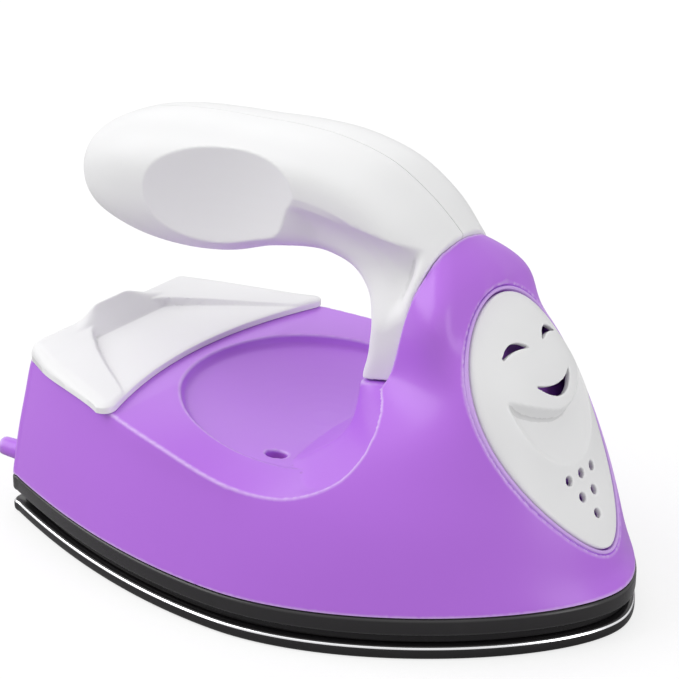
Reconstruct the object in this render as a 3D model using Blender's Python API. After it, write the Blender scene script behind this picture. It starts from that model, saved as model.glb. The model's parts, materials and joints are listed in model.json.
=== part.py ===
"""Mini craft iron, built as separate pieces in metres.

+X points to the nose, +Y to the user's left, +Z up; the origin is the centre of the sole's flat face.
"""
import math

import bmesh
import bpy
import numpy as np
from mathutils import Matrix, Vector

# Overall sizes
SOLE_LENGTH = 0.120
SOLE_WIDTH = 0.085
IRON_HEIGHT = 0.0798

# Outlines are drawn in parts of the overall sizes, like a hull's offset table
LENGTH_PARTS = 120.0
WIDTH_PARTS = 85.0
RISE_PARTS = 72.0

# Fits and walls
FIT_GAP = 0.0003
SLIVER = 0.00003
OVERRUN = 0.030
HOUSING_WALL = 0.0020
HANDLE_WALL = 0.0022
COVER_WALL = 0.0016
PLATE_WALL = 0.0016

# Soleplate and skirt
SOLE_THICKNESS = 0.0026
SOLE_EDGE_ROUND = 0.0009
ROUND_MIDDLE_SHARE = 0.3
GROOVE_HEIGHT = 0.0020
GROOVE_DEPTH = 0.0016
GROOVE_WALL = 0.0024
SKIRT_HEIGHT = 0.0032
SKIRT_FLANGE = 0.0100
SKIRT_EDGE_ROUND = 0.0006

# Face plate
FACE_WIDTH = 0.0310
FACE_CROWN = 0.0041
FACE_BEND = 0.0024
CHIN_BOW = 0.0060
SCOOP_DEPTH = 0.0030
SCOOP_EDGE = 0.0018
FACE_LIP_WIDTH = 0.0010
FACE_LIP_DEPTH = 0.0005
FACE_FALL_SHARE = 0.35
FACE_BLEND = 0.0070
FACE_BLEND_DEPTHS = (-0.016, -0.008)
FACE_SEAT = 0.0030
FACE_LEDGE = 0.0018
EYE_LENGTH = 0.0062
EYE_RISE = 0.0020
EYE_THICKNESS = 0.0012
SMILE_LENGTH = 0.0102
SMILE_RISE = 0.0034
SMILE_THICKNESS = 0.0017
VENT_RADIUS = 0.00090
VENT_PITCH = 0.0039
VENT_ROW_PITCH = 0.0038

# Finger dish, pedestal and heel
DISH_RADIUS = 0.0266
DISH_CENTRE_SHARES = (-5.4, 15.9)
DISH_BOWL_RADIUS = 0.100
DISH_TILT = math.radians(3.9)
DISH_TOOL_RISE = 0.0085
INDICATOR_HOLE_RADIUS = 0.0020
PEG_RADIUS = 0.0021
PEG_REACH = 0.0062
PEG_ROUND = 0.0006

# Handle
GRIP_WIDTH = 0.0284
LEG_WIDTH = 0.0238
THUMB_CURVE_RADIUS = 0.0440
THUMB_BARREL_RADIUS = 0.060
THUMB_DEPTH = 0.0040
THUMB_LEAN = math.radians(-4)
HANDLE_BOSS_RADIUS = 0.0032

# Rear cover
COVER_EDGE = 0.0008
COVER_ROUND = 0.0005
HOLLOW_STEP = 0.0005

# Screws
SCREW_RADIUS = 0.0011
SCREW_HEAD_RADIUS = 0.0021
SCREW_HEAD_HEIGHT = 0.0013
SCREW_DOME_SHARES = (0.6, 0.55)
SOLE_THREAD_DEPTH = 0.0014
HANDLE_SCREW_GRIP = 0.0060
POST_WALL = 0.0018
POST_TOP_SHARE = 23.0
HOUSING_SCREW_TOP_SHARE = 12.0
SCREW_TIP_ROOM = 0.0018

# Heater stack
HEATER_LENGTH = 0.036
HEATER_WIDTH = 0.014
HEATER_THICKNESS = 0.0040
INSULATION_THICKNESS = 0.0005
INSULATION_MARGIN = 0.0010
CLAMP_WIDTH = 0.012
CLAMP_THICKNESS = 0.0012
CLAMP_FOOT = 0.0080
FUSE_RADIUS = 0.0019
FUSE_LENGTH = 0.0120
FUSE_TIP = 0.0016

# Indicator and its board
BOARD_LENGTH = 0.030
BOARD_WIDTH = 0.016
BOARD_THICKNESS = 0.0012
LED_RADIUS = 0.0015
LED_HEIGHT = 0.0040
LENS_RADIUS = 0.0016
LENS_LENGTH = 0.0034
COLLAR_WALL = 0.0012
BOARD_POST_RADIUS = 0.0016
BOARD_POST_SHARES = ((-0.36, 0.30), (0.36, -0.20))
LAMP_BOSS_TOP_SHARE = 20.0
LENS_CHAMFER = 0.0005

# Inlet at the heel
INLET_WIDTH = 0.0160
INLET_HEIGHT = 0.0080
INLET_DEPTH = 0.0080
CONTACT_RADIUS = 0.0012
CONTACT_SPACING = 0.0080
CONTACT_LENGTH = 0.0120
BLOCK_SETBACK = 0.0009
PIN_SETBACK = 0.0018
LEAD_RADIUS = 0.0007
LEAD_BEND = 0.0042
# Turning points of the leads, in bends
LIVE_TURN_SHARES = (4.0, 0.5, 0.4)
NEUTRAL_TURN_SHARES = (3.0, 2.0, 1.0, 1.6, 0.3)
HEATER_TURN_SHARES = (1.4, 0.7, 0.2, 1.3, 0.6, 0.9)

# Worked-out levels
GROOVE_BOTTOM = SOLE_THICKNESS
SKIRT_BOTTOM = GROOVE_BOTTOM + GROOVE_HEIGHT
SKIRT_TOP = SKIRT_BOTTOM + SKIRT_HEIGHT
HOUSING_BOTTOM = SKIRT_TOP + FIT_GAP
RISE = IRON_HEIGHT - SKIRT_TOP

# Hull sections from the foot up, in parts: height above the skirt, nose x, nose fullness, side handle x
# and y, side x and y, rear handle x, corner handle x and y, corner x and y, rear x
HULL_SHARES = (
    (0.0, 58.9, 15.2, 27.5, 42.5, 0.0, 42.5, -23.0, -45.0, 33.9, -59.0, 27.6, -60.9),
    (8.2, 56.4, 16.4, 26.0, 40.3, 0.0, 40.4, -23.0, -45.0, 32.2, -58.5, 26.0, -60.4),
    (16.2, 53.0, 18.6, 23.0, 36.6, 0.0, 38.3, -23.0, -45.0, 30.4, -57.8, 24.2, -59.6),
    (23.2, 49.8, 21.5, 18.5, 29.4, 0.0, 36.6, -23.0, -45.0, 28.6, -57.0, 22.6, -58.7),
    (29.2, 46.8, 24.0, 24.0, 20.4, 9.0, 26.0, -8.0, -24.0, 27.0, -44.0, 21.0, -46.0),
    (33.2, 44.6, 23.2, 28.5, 19.2, 14.6, 13.8, 2.0, -8.0, 14.0, -20.0, 11.0, -22.0),
    (38.2, 41.6, 22.0, 31.0, 18.4, 16.0, 12.6, 8.0, 2.0, 9.0, -6.0, 6.0, -8.0),
    (44.2, 36.8, 18.6, 28.0, 17.4, 17.8, 12.3, 12.0, 4.0, 9.0, -2.0, 6.0, -4.0),
    (49.6, 31.2, 14.4, 28.0, 16.4, 19.4, 11.2, 15.0, 8.0, 8.0, 2.0, 5.0, 1.0),
    (53.6, 27.4, 11.4, 26.0, 13.2, 20.2, 8.8, 17.0, 11.0, 6.0, 6.0, 4.0, 5.0),
    (57.2, 23.8, 7.0, 23.0, 7.0, 20.8, 4.6, 18.5, 15.0, 3.0, 12.0, 2.0, 11.5),
    (59.4, 21.6, 3.0, 21.0, 3.2, 19.0, 2.4, 18.0, 16.0, 1.6, 14.0, 1.0, 13.6),
)
HULL_LEVEL_SHARES = (0.0, 4.5, 9.0, 13.0, 17.0, 20.5, 23.2, 25.6, 28.0, 31.0, 34.5, 38.2, 42.0, 46.0, 49.6,
                     53.6, 57.2, 59.4)
CAVITY_LEVEL_COUNT = 14
HEEL_CORNER_SHARE = 0.93

# Side profile of the hand opening, in parts of length and rise, from the rear deck forward and up the arch
DECK_SHARES = ((-76.0, 23.2), (-44.0, 23.0), (-28.5, 22.6))
SADDLE_SHARES = ((-28.5, 22.6), (-15.5, 21.1), (-3.0, 19.0), (7.0, 18.0), (13.5, 18.9), (18.6, 21.6),
                 (20.9, 25.3), (21.1, 28.7), (20.0, 31.3))
ARCH_FOOT_SHARES = (17.4, 33.3)
ARCH_TOP_SHARES = (23.5, 57.2)

# Pedestal under the leg, from its top down: depth, rear x, half width there, x and half width of the
# flanks where they leave through the hull's side
PEDESTAL_SHARES = (
    (0.0, 10.1, 12.1, 18.0, 13.4),
    (2.0, 10.0, 12.2, 20.6, 18.4),
    (5.0, 9.8, 12.7, 23.0, 24.4),
    (8.0, 9.2, 13.4, 23.6, 28.4),
    (11.0, 7.6, 15.0, 22.6, 33.0),
    (14.0, 4.2, 18.6, 19.0, 38.0),
    (16.5, -1.0, 24.0, 12.0, 41.0),
    (18.5, -7.0, 29.0, 6.0, 43.0),
)
PEDESTAL_CORNER_SHARE = 0.28

# Handle stations from the tail: crest x and height, underside x and height, half width as a share of the
# grip's, squareness over and under the middle. The leg's crests lie past the arch, which trims them
HANDLE_SHARES = (
    (-58.6, 58.6, -58.2, 55.4, 0.18, 2.1, 2.1),
    (-57.3, 62.4, -56.2, 51.4, 0.47, 2.1, 2.1),
    (-53.3, 66.2, -52.0, 48.6, 0.74, 2.2, 2.2),
    (-46.0, 69.4, -45.4, 46.9, 0.92, 2.3, 2.3),
    (-38.0, 71.0, -38.4, 46.0, 0.99, 2.4, 2.4),
    (-29.0, 71.8, -30.4, 45.9, 1.00, 2.4, 2.4),
    (-20.0, 72.0, -21.8, 47.2, 0.985, 2.6, 2.5),
    (-10.6, 72.3, -12.6, 50.2, 0.94, 2.9, 2.8),
    (-1.0, 71.6, -4.6, 51.5, 0.90, 3.2, 3.2),
    (9.0, 69.1, 4.2, 50.4, 0.875, 3.2, 4.0),
    (17.0, 64.8, 9.4, 47.0, 0.865, 3.0, 5.0),
    (22.6, 60.4, 11.6, 42.6, 0.865, 2.5, 6.0),
    (26.4, 55.8, 12.0, 38.6, 0.875, 2.4, 7.0),
    (29.4, 48.0, 11.5, 35.6, 0.875, 3.4, 8.0),
    (27.4, 40.0, 10.5, 33.6, 0.86, 5.5, 9.0),
    (24.4, 34.7, 9.9, 32.1, 0.845, 8.0, 9.0),
)

THUMB_PLACE_SHARES = (-18.1, 60.6)

# Face plate: ends of its centre line, and shares of its length or half width that shape it
FACE_TOP_SHARES = (31.15, 49.1)
FACE_FOOT_SHARES = (55.35, 7.4)
FACE_TAPER_SHARES = (0.23, -0.10)
FACE_ROW_SHARES = (0.012, 0.04, 0.09, 0.15, 0.21, 0.27, 0.33, 0.39, 0.435, 0.464, 0.485, 0.52, 0.57, 0.63,
                   0.68,
                   0.74, 0.82, 0.90, 0.96, 0.988)
FACE_COLUMN_SHARES = (0.0, 0.2, 0.4, 0.58, 0.75, 0.89, 1.0)
FACE_CROWN_SHARES = ((0.0, 0.0), (0.10, 0.48), (0.22, 0.80), (0.34, 1.0), (0.44, 0.94), (0.56, 0.60),
                     (0.68, 0.24), (0.78, 0.10), (0.88, 0.11), (1.0, 0.0))
FACE_TOOL_SHARES = (0.05, 0.4, 0.75, 1.0)
FACE_RIM_STEPS = 40
CHIN_SHARE = 0.465
CHIN_HALF_SHARE = 0.75
CHIN_FADE_SHARE = 0.34
SCOOP_TIP_SHARE = 0.67
EYE_PLACE_SHARES = (0.224, 0.355)
SMILE_PLACE_SHARE = 0.336
VENT_PLACE_SHARE = 0.7115

# Rear cover, in parts of length, width and rise
COVER_ROW_SHARES = (0.0, 0.02, 0.09, 0.17, 0.235, 0.26, 0.36, 0.48, 0.60, 0.72, 0.84, 0.94, 0.985, 1.0)
COVER_REAR_SHARE = -58.2
COVER_FRONT_SHARES = (-35.3, -28.6)
COVER_HALF_SHARES = (23.6, 34.2)
COVER_TOP_SHARES = (26.8, 24.3)
COVER_BEVEL_SHARES = (3.4, 2.0)
HOLLOW_FLOOR_SHARES = (24.9, 24.1)
HOLLOW_END_SHARE = 0.26
HOLLOW_HALF_SHARES = (10.7, 27.0)
RIDGE_TOP_SHARE = 29.6
RIDGE_HALF_SHARE = 2.4
RIDGE_FLANK_SHARE = 7.0

# Places of the inner pieces
SOLE_SCREW_SHARES = ((51.2, 0.0), (-55.2, 15.0), (-55.2, -15.0))
HOUSING_SCREW_SHARES = ((-43.0, 25.5), (-43.0, -25.5))
HANDLE_SCREW_SHARES = ((-52.0, 57.6), (4.2, 58.2))
FIXING_HEIGHT_SHARE = 0.42
FIXING_SPREAD_SHARE = 0.46
INDICATOR_SHARES = (-2.0, -20.0)
PEG_SHARES = (22.0, 2.4)
INLET_HEIGHT_SHARE = 9.6

COLOURS = {
    "purple": ((0.47, 0.19, 0.76, 1.0), 0.30, 0.0),
    "white": ((0.86, 0.86, 0.87, 1.0), 0.38, 0.0),
    "black": ((0.030, 0.028, 0.030, 1.0), 0.35, 0.0),
    "coating": ((0.018, 0.015, 0.018, 1.0), 0.30, 0.0),
    "steel": ((0.62, 0.62, 0.64, 1.0), 0.30, 1.0),
    "brass": ((0.78, 0.60, 0.30, 1.0), 0.30, 1.0),
    "ceramic": ((0.75, 0.72, 0.66, 1.0), 0.70, 0.0),
    "mica": ((0.55, 0.42, 0.25, 1.0), 0.55, 0.0),
    "board": ((0.05, 0.28, 0.10, 1.0), 0.50, 0.0),
    "lens": ((0.80, 0.20, 0.18, 1.0), 0.15, 0.0),
    "lead": ((0.70, 0.68, 0.62, 1.0), 0.60, 0.0),
}


def along(part):
    return part * SOLE_LENGTH / LENGTH_PARTS


def across(part):
    return part * SOLE_WIDTH / WIDTH_PARTS


def rise(part):
    return part * RISE / RISE_PARTS


def up(part):
    return SKIRT_TOP + rise(part)


# Scene helpers
def clear_scene():
    for obj in list(bpy.data.objects):
        bpy.data.objects.remove(obj, do_unlink=True)


def make_collection(name):
    collection = bpy.data.collections.new(name)
    bpy.context.scene.collection.children.link(collection)
    return collection


def make_materials():
    made = {}
    for name, (colour, roughness, metallic) in COLOURS.items():
        material = bpy.data.materials.new(name)
        material.use_nodes = True
        shader = material.node_tree.nodes["Principled BSDF"]
        shader.inputs["Base Color"].default_value = colour
        shader.inputs["Roughness"].default_value = roughness
        shader.inputs["Metallic"].default_value = metallic
        made[name] = material
    return made


def add_object(name, mesh, collection, material=None):
    obj = bpy.data.objects.new(name, mesh)
    collection.objects.link(obj)
    if material:
        mesh.materials.append(material)
    return obj


def add_cutter(name, mesh):
    obj = add_object(name, mesh, CUTTERS)
    obj.hide_render = True
    obj.display_type = "WIRE"
    return obj


def boolean(obj, other, operation):
    modifier = obj.modifiers.new(operation.lower() + "_" + other.name, "BOOLEAN")
    modifier.operation = operation
    modifier.object = other
    modifier.solver = "EXACT"


def cut(obj, other):
    boolean(obj, other, "DIFFERENCE")


def weld(obj):
    """Closes the hair-thin slivers that crossing cuts leave."""
    modifier = obj.modifiers.new("weld", "WELD")
    modifier.merge_threshold = SLIVER


def join(obj, other):
    boolean(obj, other, "UNION")


def shade(mesh, angle=math.radians(35)):
    mesh.shade_smooth()
    mesh.set_sharp_from_angle(angle=angle)


# Mesh builders
def loft(name, rings):
    """Quads between rings of equal length, listed bottom ring first and anticlockwise seen from above."""
    bm = bmesh.new()
    rows = [[bm.verts.new(point) for point in ring] for ring in rings]
    count = len(rings[0])
    for low, high in zip(rows, rows[1:]):
        for i in range(count):
            j = (i + 1) % count
            bm.faces.new((low[i], low[j], high[j], high[i]))
    bmesh.ops.triangulate(bm, faces=bm.faces)
    bm.faces.new(list(reversed(rows[0])))
    bm.faces.new(rows[-1])
    bmesh.ops.recalc_face_normals(bm, faces=bm.faces)
    return finish_mesh(name, bm)


def finish_mesh(name, bm):
    mesh = bpy.data.meshes.new(name)
    bm.to_mesh(mesh)
    bm.free()
    shade(mesh)
    return mesh


def box_mesh(name, low, high):
    bm = bmesh.new()
    bmesh.ops.create_cube(bm, size=1.0)
    low, high = Vector(low), Vector(high)
    size = high - low
    bmesh.ops.scale(bm, vec=size, verts=bm.verts)
    bmesh.ops.translate(bm, vec=(low + high) / 2, verts=bm.verts)
    return finish_mesh(name, bm)


def rod_mesh(name, start, end, radius, end_radius=None, sides=12):
    """A cylinder or cone between two points."""
    start, end = Vector(start), Vector(end)
    direction = end - start
    bm = bmesh.new()
    bmesh.ops.create_cone(bm, cap_ends=True, segments=sides, radius1=radius,
                          radius2=radius if end_radius is None else end_radius, depth=direction.length)
    turn = direction.to_track_quat("Z", "Y").to_matrix().to_4x4()
    bmesh.ops.transform(bm, matrix=Matrix.Translation((start + end) / 2) @ turn, verts=bm.verts)
    return finish_mesh(name, bm)


def extrude_outline(name, outline, offset):
    """A closed flat outline swept by an offset vector."""
    bm = bmesh.new()
    face = bm.faces.new([bm.verts.new(point) for point in outline])
    result = bmesh.ops.extrude_face_region(bm, geom=[face])
    moved = [item for item in result["geom"] if isinstance(item, bmesh.types.BMVert)]
    bmesh.ops.translate(bm, vec=offset, verts=moved)
    bmesh.ops.recalc_face_normals(bm, faces=bm.faces)
    return finish_mesh(name, bm)


def grid_solid(name, upper, lower):
    """A closed solid between two grids of points with the same rows and columns."""
    bm = bmesh.new()
    tops = [[bm.verts.new(point) for point in row] for row in upper]
    feet = [[bm.verts.new(point) for point in row] for row in lower]
    rows, columns = len(tops), len(tops[0])
    for i in range(rows - 1):
        for j in range(columns - 1):
            bm.faces.new((tops[i][j], tops[i + 1][j], tops[i + 1][j + 1], tops[i][j + 1]))
            bm.faces.new((feet[i][j], feet[i][j + 1], feet[i + 1][j + 1], feet[i + 1][j]))
    border = [(0, j) for j in range(columns)] + [(i, columns - 1) for i in range(1, rows)]
    border += [(rows - 1, j) for j in range(columns - 2, -1, -1)] + [(i, 0) for i in range(rows - 2, 0, -1)]
    for (i, j), (k, l) in zip(border, border[1:] + border[:1]):
        bm.faces.new((tops[i][j], tops[k][l], feet[k][l], feet[i][j]))
    bmesh.ops.recalc_face_normals(bm, faces=bm.faces)
    return finish_mesh(name, bm)


# Curves
def bezier(a, b, c, d, count, last=False):
    """Points on a cubic from a towards d, without d unless last is set."""
    a, b, c, d = (np.array(point, float) for point in (a, b, c, d))
    points = []
    for i in range(count + (1 if last else 0)):
        t = i / count
        points.append(a * (1 - t) ** 3 + 3 * b * t * (1 - t) ** 2 + 3 * c * t * t * (1 - t) + d * t ** 3)
    return points


def smooth_line(points, steps):
    """A smooth line through the points, with some steps between neighbours."""
    points = [np.array(point, float) for point in points]
    padded = [2 * points[0] - points[1]] + points + [2 * points[-1] - points[-2]]
    line = []
    for a, b, c, d in zip(padded, padded[1:], padded[2:], padded[3:]):
        for i in range(steps):
            t = i / steps
            line.append(0.5 * (2 * b + (c - a) * t + (2 * a - 5 * b + 4 * c - d) * t * t
                               + (3 * b - a - 3 * c + d) * t ** 3))
    line.append(points[-1])
    return line


def monotone(rows, where):
    """Each column of the rows, read at a place on the first column without overshoot."""
    table = np.array(rows, float)
    places = table[:, 0]
    where = min(max(where, places[0]), places[-1])
    slopes = np.diff(table, axis=0) / np.diff(places)[:, None]
    tangents = np.empty_like(table)
    tangents[0], tangents[-1] = slopes[0], slopes[-1]
    before, after = slopes[:-1], slopes[1:]
    same = before * after > 0
    total = np.where(same, before + after, 1)
    tangents[1:-1] = np.where(same, 2 * before * after / total, 0)
    i = min(int(np.searchsorted(places, where, side="right")) - 1, len(places) - 2)
    span = places[i + 1] - places[i]
    t = (where - places[i]) / span
    return ((1 + 2 * t) * (1 - t) ** 2 * table[i] + t * (1 - t) ** 2 * span * tangents[i]
            + t * t * (3 - 2 * t) * table[i + 1] + t * t * (t - 1) * span * tangents[i + 1])


def smoothstep(low, high, value):
    t = min(max((value - low) / (high - low), 0.0), 1.0)
    return t * t * (3 - 2 * t)


# Hull
SIDE_STEPS = 12
REAR_STEPS = 7
HEEL_STEPS = 2


def hull_ring(part, inset=0.0, z=None):
    """The closed outline of the hull at a height part, anticlockwise from the nose."""
    (_, nose, full, hx, hy, sx, sy, rx, cx, cy, kx, ky, rear) = monotone(HULL_SHARES, part)
    nose_point = (along(nose) - inset, 0)
    nose_full = (along(nose) - inset, max(across(full) - inset / 2, across(full) / 2))
    side_pull = (along(hx), max(across(hy) - inset, across(hy) / 2))
    side = (along(sx), max(across(sy) - inset, across(sy) / 2))
    rear_pull = (along(rx), side[1])
    corner_pull = (along(cx), max(across(cy) - inset, across(cy) / 2))
    corner = (along(kx) + inset, max(across(ky) - inset, across(ky) / 2))
    heel = (along(rear) + inset, corner[1] * HEEL_CORNER_SHARE)
    half = bezier(nose_point, nose_full, side_pull, side, SIDE_STEPS)
    half += bezier(side, rear_pull, corner_pull, corner, REAR_STEPS)
    heel_pull = ((corner[0] + heel[0]) / 2, corner[1])
    half += bezier(corner, heel_pull, (heel[0], (corner[1] + heel[1]) / 2), heel, HEEL_STEPS, last=True)
    level = up(part) if z is None else z
    left = [(x, y, level) for x, y in half]
    if z is None:
        left = [meet_face_rim(point, inset) for point in left]
    return left + [(x, -y, level) for x, y, level in reversed(left[1:])]


def meet_face_rim(point, inset):
    """Moves a point of the hull near the face plate so that the hull meets the plate's rim flush."""
    top, down, out, length = face_frame()
    point = np.array(point, float)
    s, t, h = (point - top) @ down, point[1], (point - top) @ out
    beside = max(abs(t) - face_half_width(s) - FACE_LIP_WIDTH, 0.0)
    beyond = max(-s, s - length, 0.0)
    weight = smoothstep(*FACE_BLEND_DEPTHS, h) * (1 - smoothstep(0, FACE_BLEND, math.hypot(beside, beyond)))
    return tuple(point + out * weight * (face_bend(t) - beside * FACE_FALL_SHARE - inset - h))


def hull_mesh(name, inset, bottom, levels=HULL_LEVEL_SHARES):
    rings = [hull_ring(0.0, inset, z=bottom)]
    rings += [hull_ring(part, inset) for part in levels[1:]]
    return loft(name, rings)


# Hand opening
def arch_line():
    foot = np.array((along(ARCH_FOOT_SHARES[0]), up(ARCH_FOOT_SHARES[1])))
    top = np.array((along(ARCH_TOP_SHARES[0]), up(ARCH_TOP_SHARES[1])))
    return foot, top


def opening_outline(offset=0.0):
    """Side view of the hand opening, moved into the plastic by an offset."""
    foot, top = arch_line()
    deck = [np.array((along(x), up(z))) for x, z in DECK_SHARES[:-1]]
    saddle = smooth_line([(along(x), up(z)) for x, z in SADDLE_SHARES], 3)
    path = deck + saddle + [foot, top + (top - foot) / 2]
    moved = []
    for i, point in enumerate(path):
        before = path[max(i - 1, 0)]
        after = path[min(i + 1, len(path) - 1)]
        run = (after - before) / np.linalg.norm(after - before)
        moved.append(point + offset * np.array((run[1], -run[0])))
    moved.append(np.array((moved[-1][0], up(RISE_PARTS * 2))))
    moved.append(np.array((moved[0][0], up(RISE_PARTS * 2))))
    return moved


def opening_mesh(name, offset=0.0):
    half = across(WIDTH_PARTS)
    outline = [(x, -half, z) for x, z in opening_outline(offset)]
    return extrude_outline(name, outline, (0, 2 * half, 0))


def dish_centre():
    return Vector((along(DISH_CENTRE_SHARES[0]), 0, up(DISH_CENTRE_SHARES[1])))


def dish_mesh(name, grow=0.0):
    """A turned tool with a shallow bowl end, tilted towards the nose."""
    radius = DISH_RADIUS + grow
    steps, sides = (2, 24) if grow else (4, 44)
    profile = [(0.0, DISH_TOOL_RISE), (radius, DISH_TOOL_RISE)]
    for i in range(steps, -1, -1):
        r = radius * i / steps
        profile.append((r, r * r / (2 * DISH_BOWL_RADIUS) - grow))
    place = Matrix.Translation(dish_centre()) @ Matrix.Rotation(DISH_TILT, 4, "Y")
    return turned(name, profile, sides, place)


def turned(name, profile, sides, matrix):
    """A solid of revolution about Z from (radius, height) points that start and end on the axis."""
    bm = bmesh.new()
    verts = [bm.verts.new((r, 0, z)) for r, z in profile]
    edges = [bm.edges.new(pair) for pair in zip(verts, verts[1:])]
    bmesh.ops.spin(bm, geom=verts + edges, cent=(0, 0, 0), axis=(0, 0, 1), angle=2 * math.pi, steps=sides,
                   use_merge=True)
    bmesh.ops.remove_doubles(bm, verts=bm.verts, dist=1e-7)
    bmesh.ops.transform(bm, matrix=matrix, verts=bm.verts)
    bmesh.ops.recalc_face_normals(bm, faces=bm.faces)
    return finish_mesh(name, bm)


# Pedestal
def leg_foot_slope():
    top_x, top_z, foot_x, foot_z = HANDLE_SHARES[-1][:4]
    return (rise(top_z) - rise(foot_z)) / (along(top_x) - along(foot_x))


def pedestal_ring(row, inset):
    """Rear edge with rounded corners, then flanks that flare out to the hull's side."""
    depth, rear, half, flank_x, flank_y = row
    level = up(ARCH_FOOT_SHARES[1]) - FIT_GAP - rise(depth) - inset
    tilt = leg_foot_slope() * (1 - depth / PEDESTAL_SHARES[-1][0])
    low_x, side = along(rear) + inset, across(half) - inset
    flank = (along(flank_x) + inset, across(flank_y) - inset)
    corner = side * PEDESTAL_CORNER_SHARE
    start, turn = (low_x, side - corner), (low_x, side)
    reach = math.hypot(flank[0] - low_x, flank[1] - side)
    end = (low_x + (flank[0] - low_x) * corner / reach, side + (flank[1] - side) * corner / reach)
    rear_round = bezier(start, turn, turn, end, 4, last=True)
    front = (along(LENGTH_PARTS / 2), flank[1])
    left = [tuple(point) for point in rear_round] + [flank, front]
    ring = [(x, -y) for x, y in left] + [(x, y) for x, y in reversed(left)]
    return [(x, y, level + tilt * (x - along(ARCH_FOOT_SHARES[0]))) for x, y in ring]


def pedestal_mesh(name, inset=0.0):
    return loft(name, [pedestal_ring(row, inset) for row in reversed(PEDESTAL_SHARES)])


# Face plate frame
def face_frame():
    top = np.array((along(FACE_TOP_SHARES[0]), 0, up(FACE_TOP_SHARES[1])))
    foot = np.array((along(FACE_FOOT_SHARES[0]), 0, up(FACE_FOOT_SHARES[1])))
    length = np.linalg.norm(foot - top)
    down = (foot - top) / length
    out = np.array((-down[2], 0, down[0]))
    return top, down, out, length


def face_point(s, t, h):
    top, down, out, _ = face_frame()
    return tuple(top + s * down + h * out + np.array((0, t, 0)))


def face_outline(angle, grow=0.0):
    """A point of the egg-shaped outline, as distance down the centre line and across it."""
    length = face_frame()[3]
    c, s = math.cos(angle), math.sin(angle)
    first, second = FACE_TAPER_SHARES
    wide = 1 + first * c + second * c * c
    return (length / 2 - (length / 2 + grow) * c, (FACE_WIDTH / 2 * wide + grow) * s)


def chin_drop(t):
    """How far the chin's edge lies above its lowest point, at a distance from the middle."""
    reach = min(abs(t) / (CHIN_HALF_SHARE * FACE_WIDTH / 2), 1.0)
    return CHIN_BOW * reach ** 1.7


def face_bend(t):
    return -FACE_BEND * (2 * t / FACE_WIDTH) ** 2


def face_half_width(s):
    length = face_frame()[3]
    c = 1 - 2 * min(max(s / length, 0.0), 1.0)
    first, second = FACE_TAPER_SHARES
    return FACE_WIDTH / 2 * math.sqrt(max(1 - c * c, 0.0)) * (1 + first * c + second * c * c)


def scoop_depth(s, t):
    """Depth of the hollow under the chin."""
    length = face_frame()[3]
    start, tip = CHIN_SHARE * length - CHIN_BOW, SCOOP_TIP_SHARE * length
    if not start < s < tip:
        return 0.0
    q = (s - start) / (tip - start)
    half = CHIN_HALF_SHARE * FACE_WIDTH / 2 * (1 - q ** 2.4) ** 0.55
    side = min(abs(t) / half, 1.0)
    edge = smoothstep(0, SCOOP_EDGE, s - CHIN_SHARE * length + chin_drop(t))
    return SCOOP_DEPTH * edge * (1 - q ** 1.4) * (1 - side ** 4)


def face_height(s, t):
    """Height of the front surface over the plate's chord plane."""
    length = face_frame()[3]
    half = face_half_width(s)
    side = min(abs(t) / half, 1.0) if half > 0 else 1.0
    crown = FACE_CROWN * monotone(FACE_CROWN_SHARES, s / length)[1]
    return face_bend(t) + crown * (1 - side ** 2.6) - scoop_depth(s, t)


def face_rim(grow, height, phase=0.5):
    points = []
    for i in range(FACE_RIM_STEPS):
        s, t = face_outline(2 * math.pi * (i + phase) / FACE_RIM_STEPS, grow)
        points.append(face_point(s, t, height))
    return points


def face_window_mesh(name):
    """The opening behind the plate, its corners between those of the seat."""
    _, _, out, _ = face_frame()
    outline = face_rim(-FACE_SEAT, -OVERRUN / 2, 0.0)
    return extrude_outline(name, outline, tuple(out * OVERRUN))


def face_tool(name, grow, depth):
    """A plug whose end follows the plate's bend at a depth under it."""
    centre = face_frame()[3] / 2
    rings = []
    for share in FACE_TOOL_SHARES:
        ring = []
        for i in range(FACE_RIM_STEPS):
            edge_s, edge_t = face_outline(2 * math.pi * (i + 0.5) / FACE_RIM_STEPS, grow)
            s, t = centre + (edge_s - centre) * share, edge_t * share
            ring.append(face_point(s, t, face_bend(t) - depth))
        rings.append(ring)
    rings.append(face_rim(grow, OVERRUN))
    return loft(name, rings)


def face_plate_mesh():
    length = face_frame()[3]
    columns = [-share for share in reversed(FACE_COLUMN_SHARES[1:])] + list(FACE_COLUMN_SHARES)
    bm = bmesh.new()
    layers = []
    for drop in (0.0, PLATE_WALL):
        rows = [[bm.verts.new(face_point(0, 0, -drop))]]
        for share in FACE_ROW_SHARES:
            fade = max(1 - abs(share - CHIN_SHARE) / CHIN_FADE_SHARE, 0.0)
            row = []
            for column in columns:
                t = column * face_half_width(share * length)
                s = share * length - fade * chin_drop(t) * (1 - column ** 4)
                t = column * face_half_width(s)
                row.append(bm.verts.new(face_point(s, t, face_height(s, t) - drop)))
            rows.append(row)
        rows.append([bm.verts.new(face_point(length, 0, -drop))])
        for low, high in zip(rows, rows[1:]):
            span = max(len(low), len(high))
            low, high = (row if len(row) == span else row * span for row in (low, high))
            for i in range(span - 1):
                corners = dict.fromkeys((low[i], high[i], high[i + 1], low[i + 1]))
                bm.faces.new(list(corners))
        rim = [row[0] for row in rows] + [row[-1] for row in reversed(rows[1:-1])]
        layers.append(rim)
    front, back = layers
    for i in range(len(front)):
        j = (i + 1) % len(front)
        bm.faces.new((front[i], back[i], back[j], front[j]))
    bmesh.ops.recalc_face_normals(bm, faces=bm.faces)
    return finish_mesh("face_plate", bm)


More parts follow.
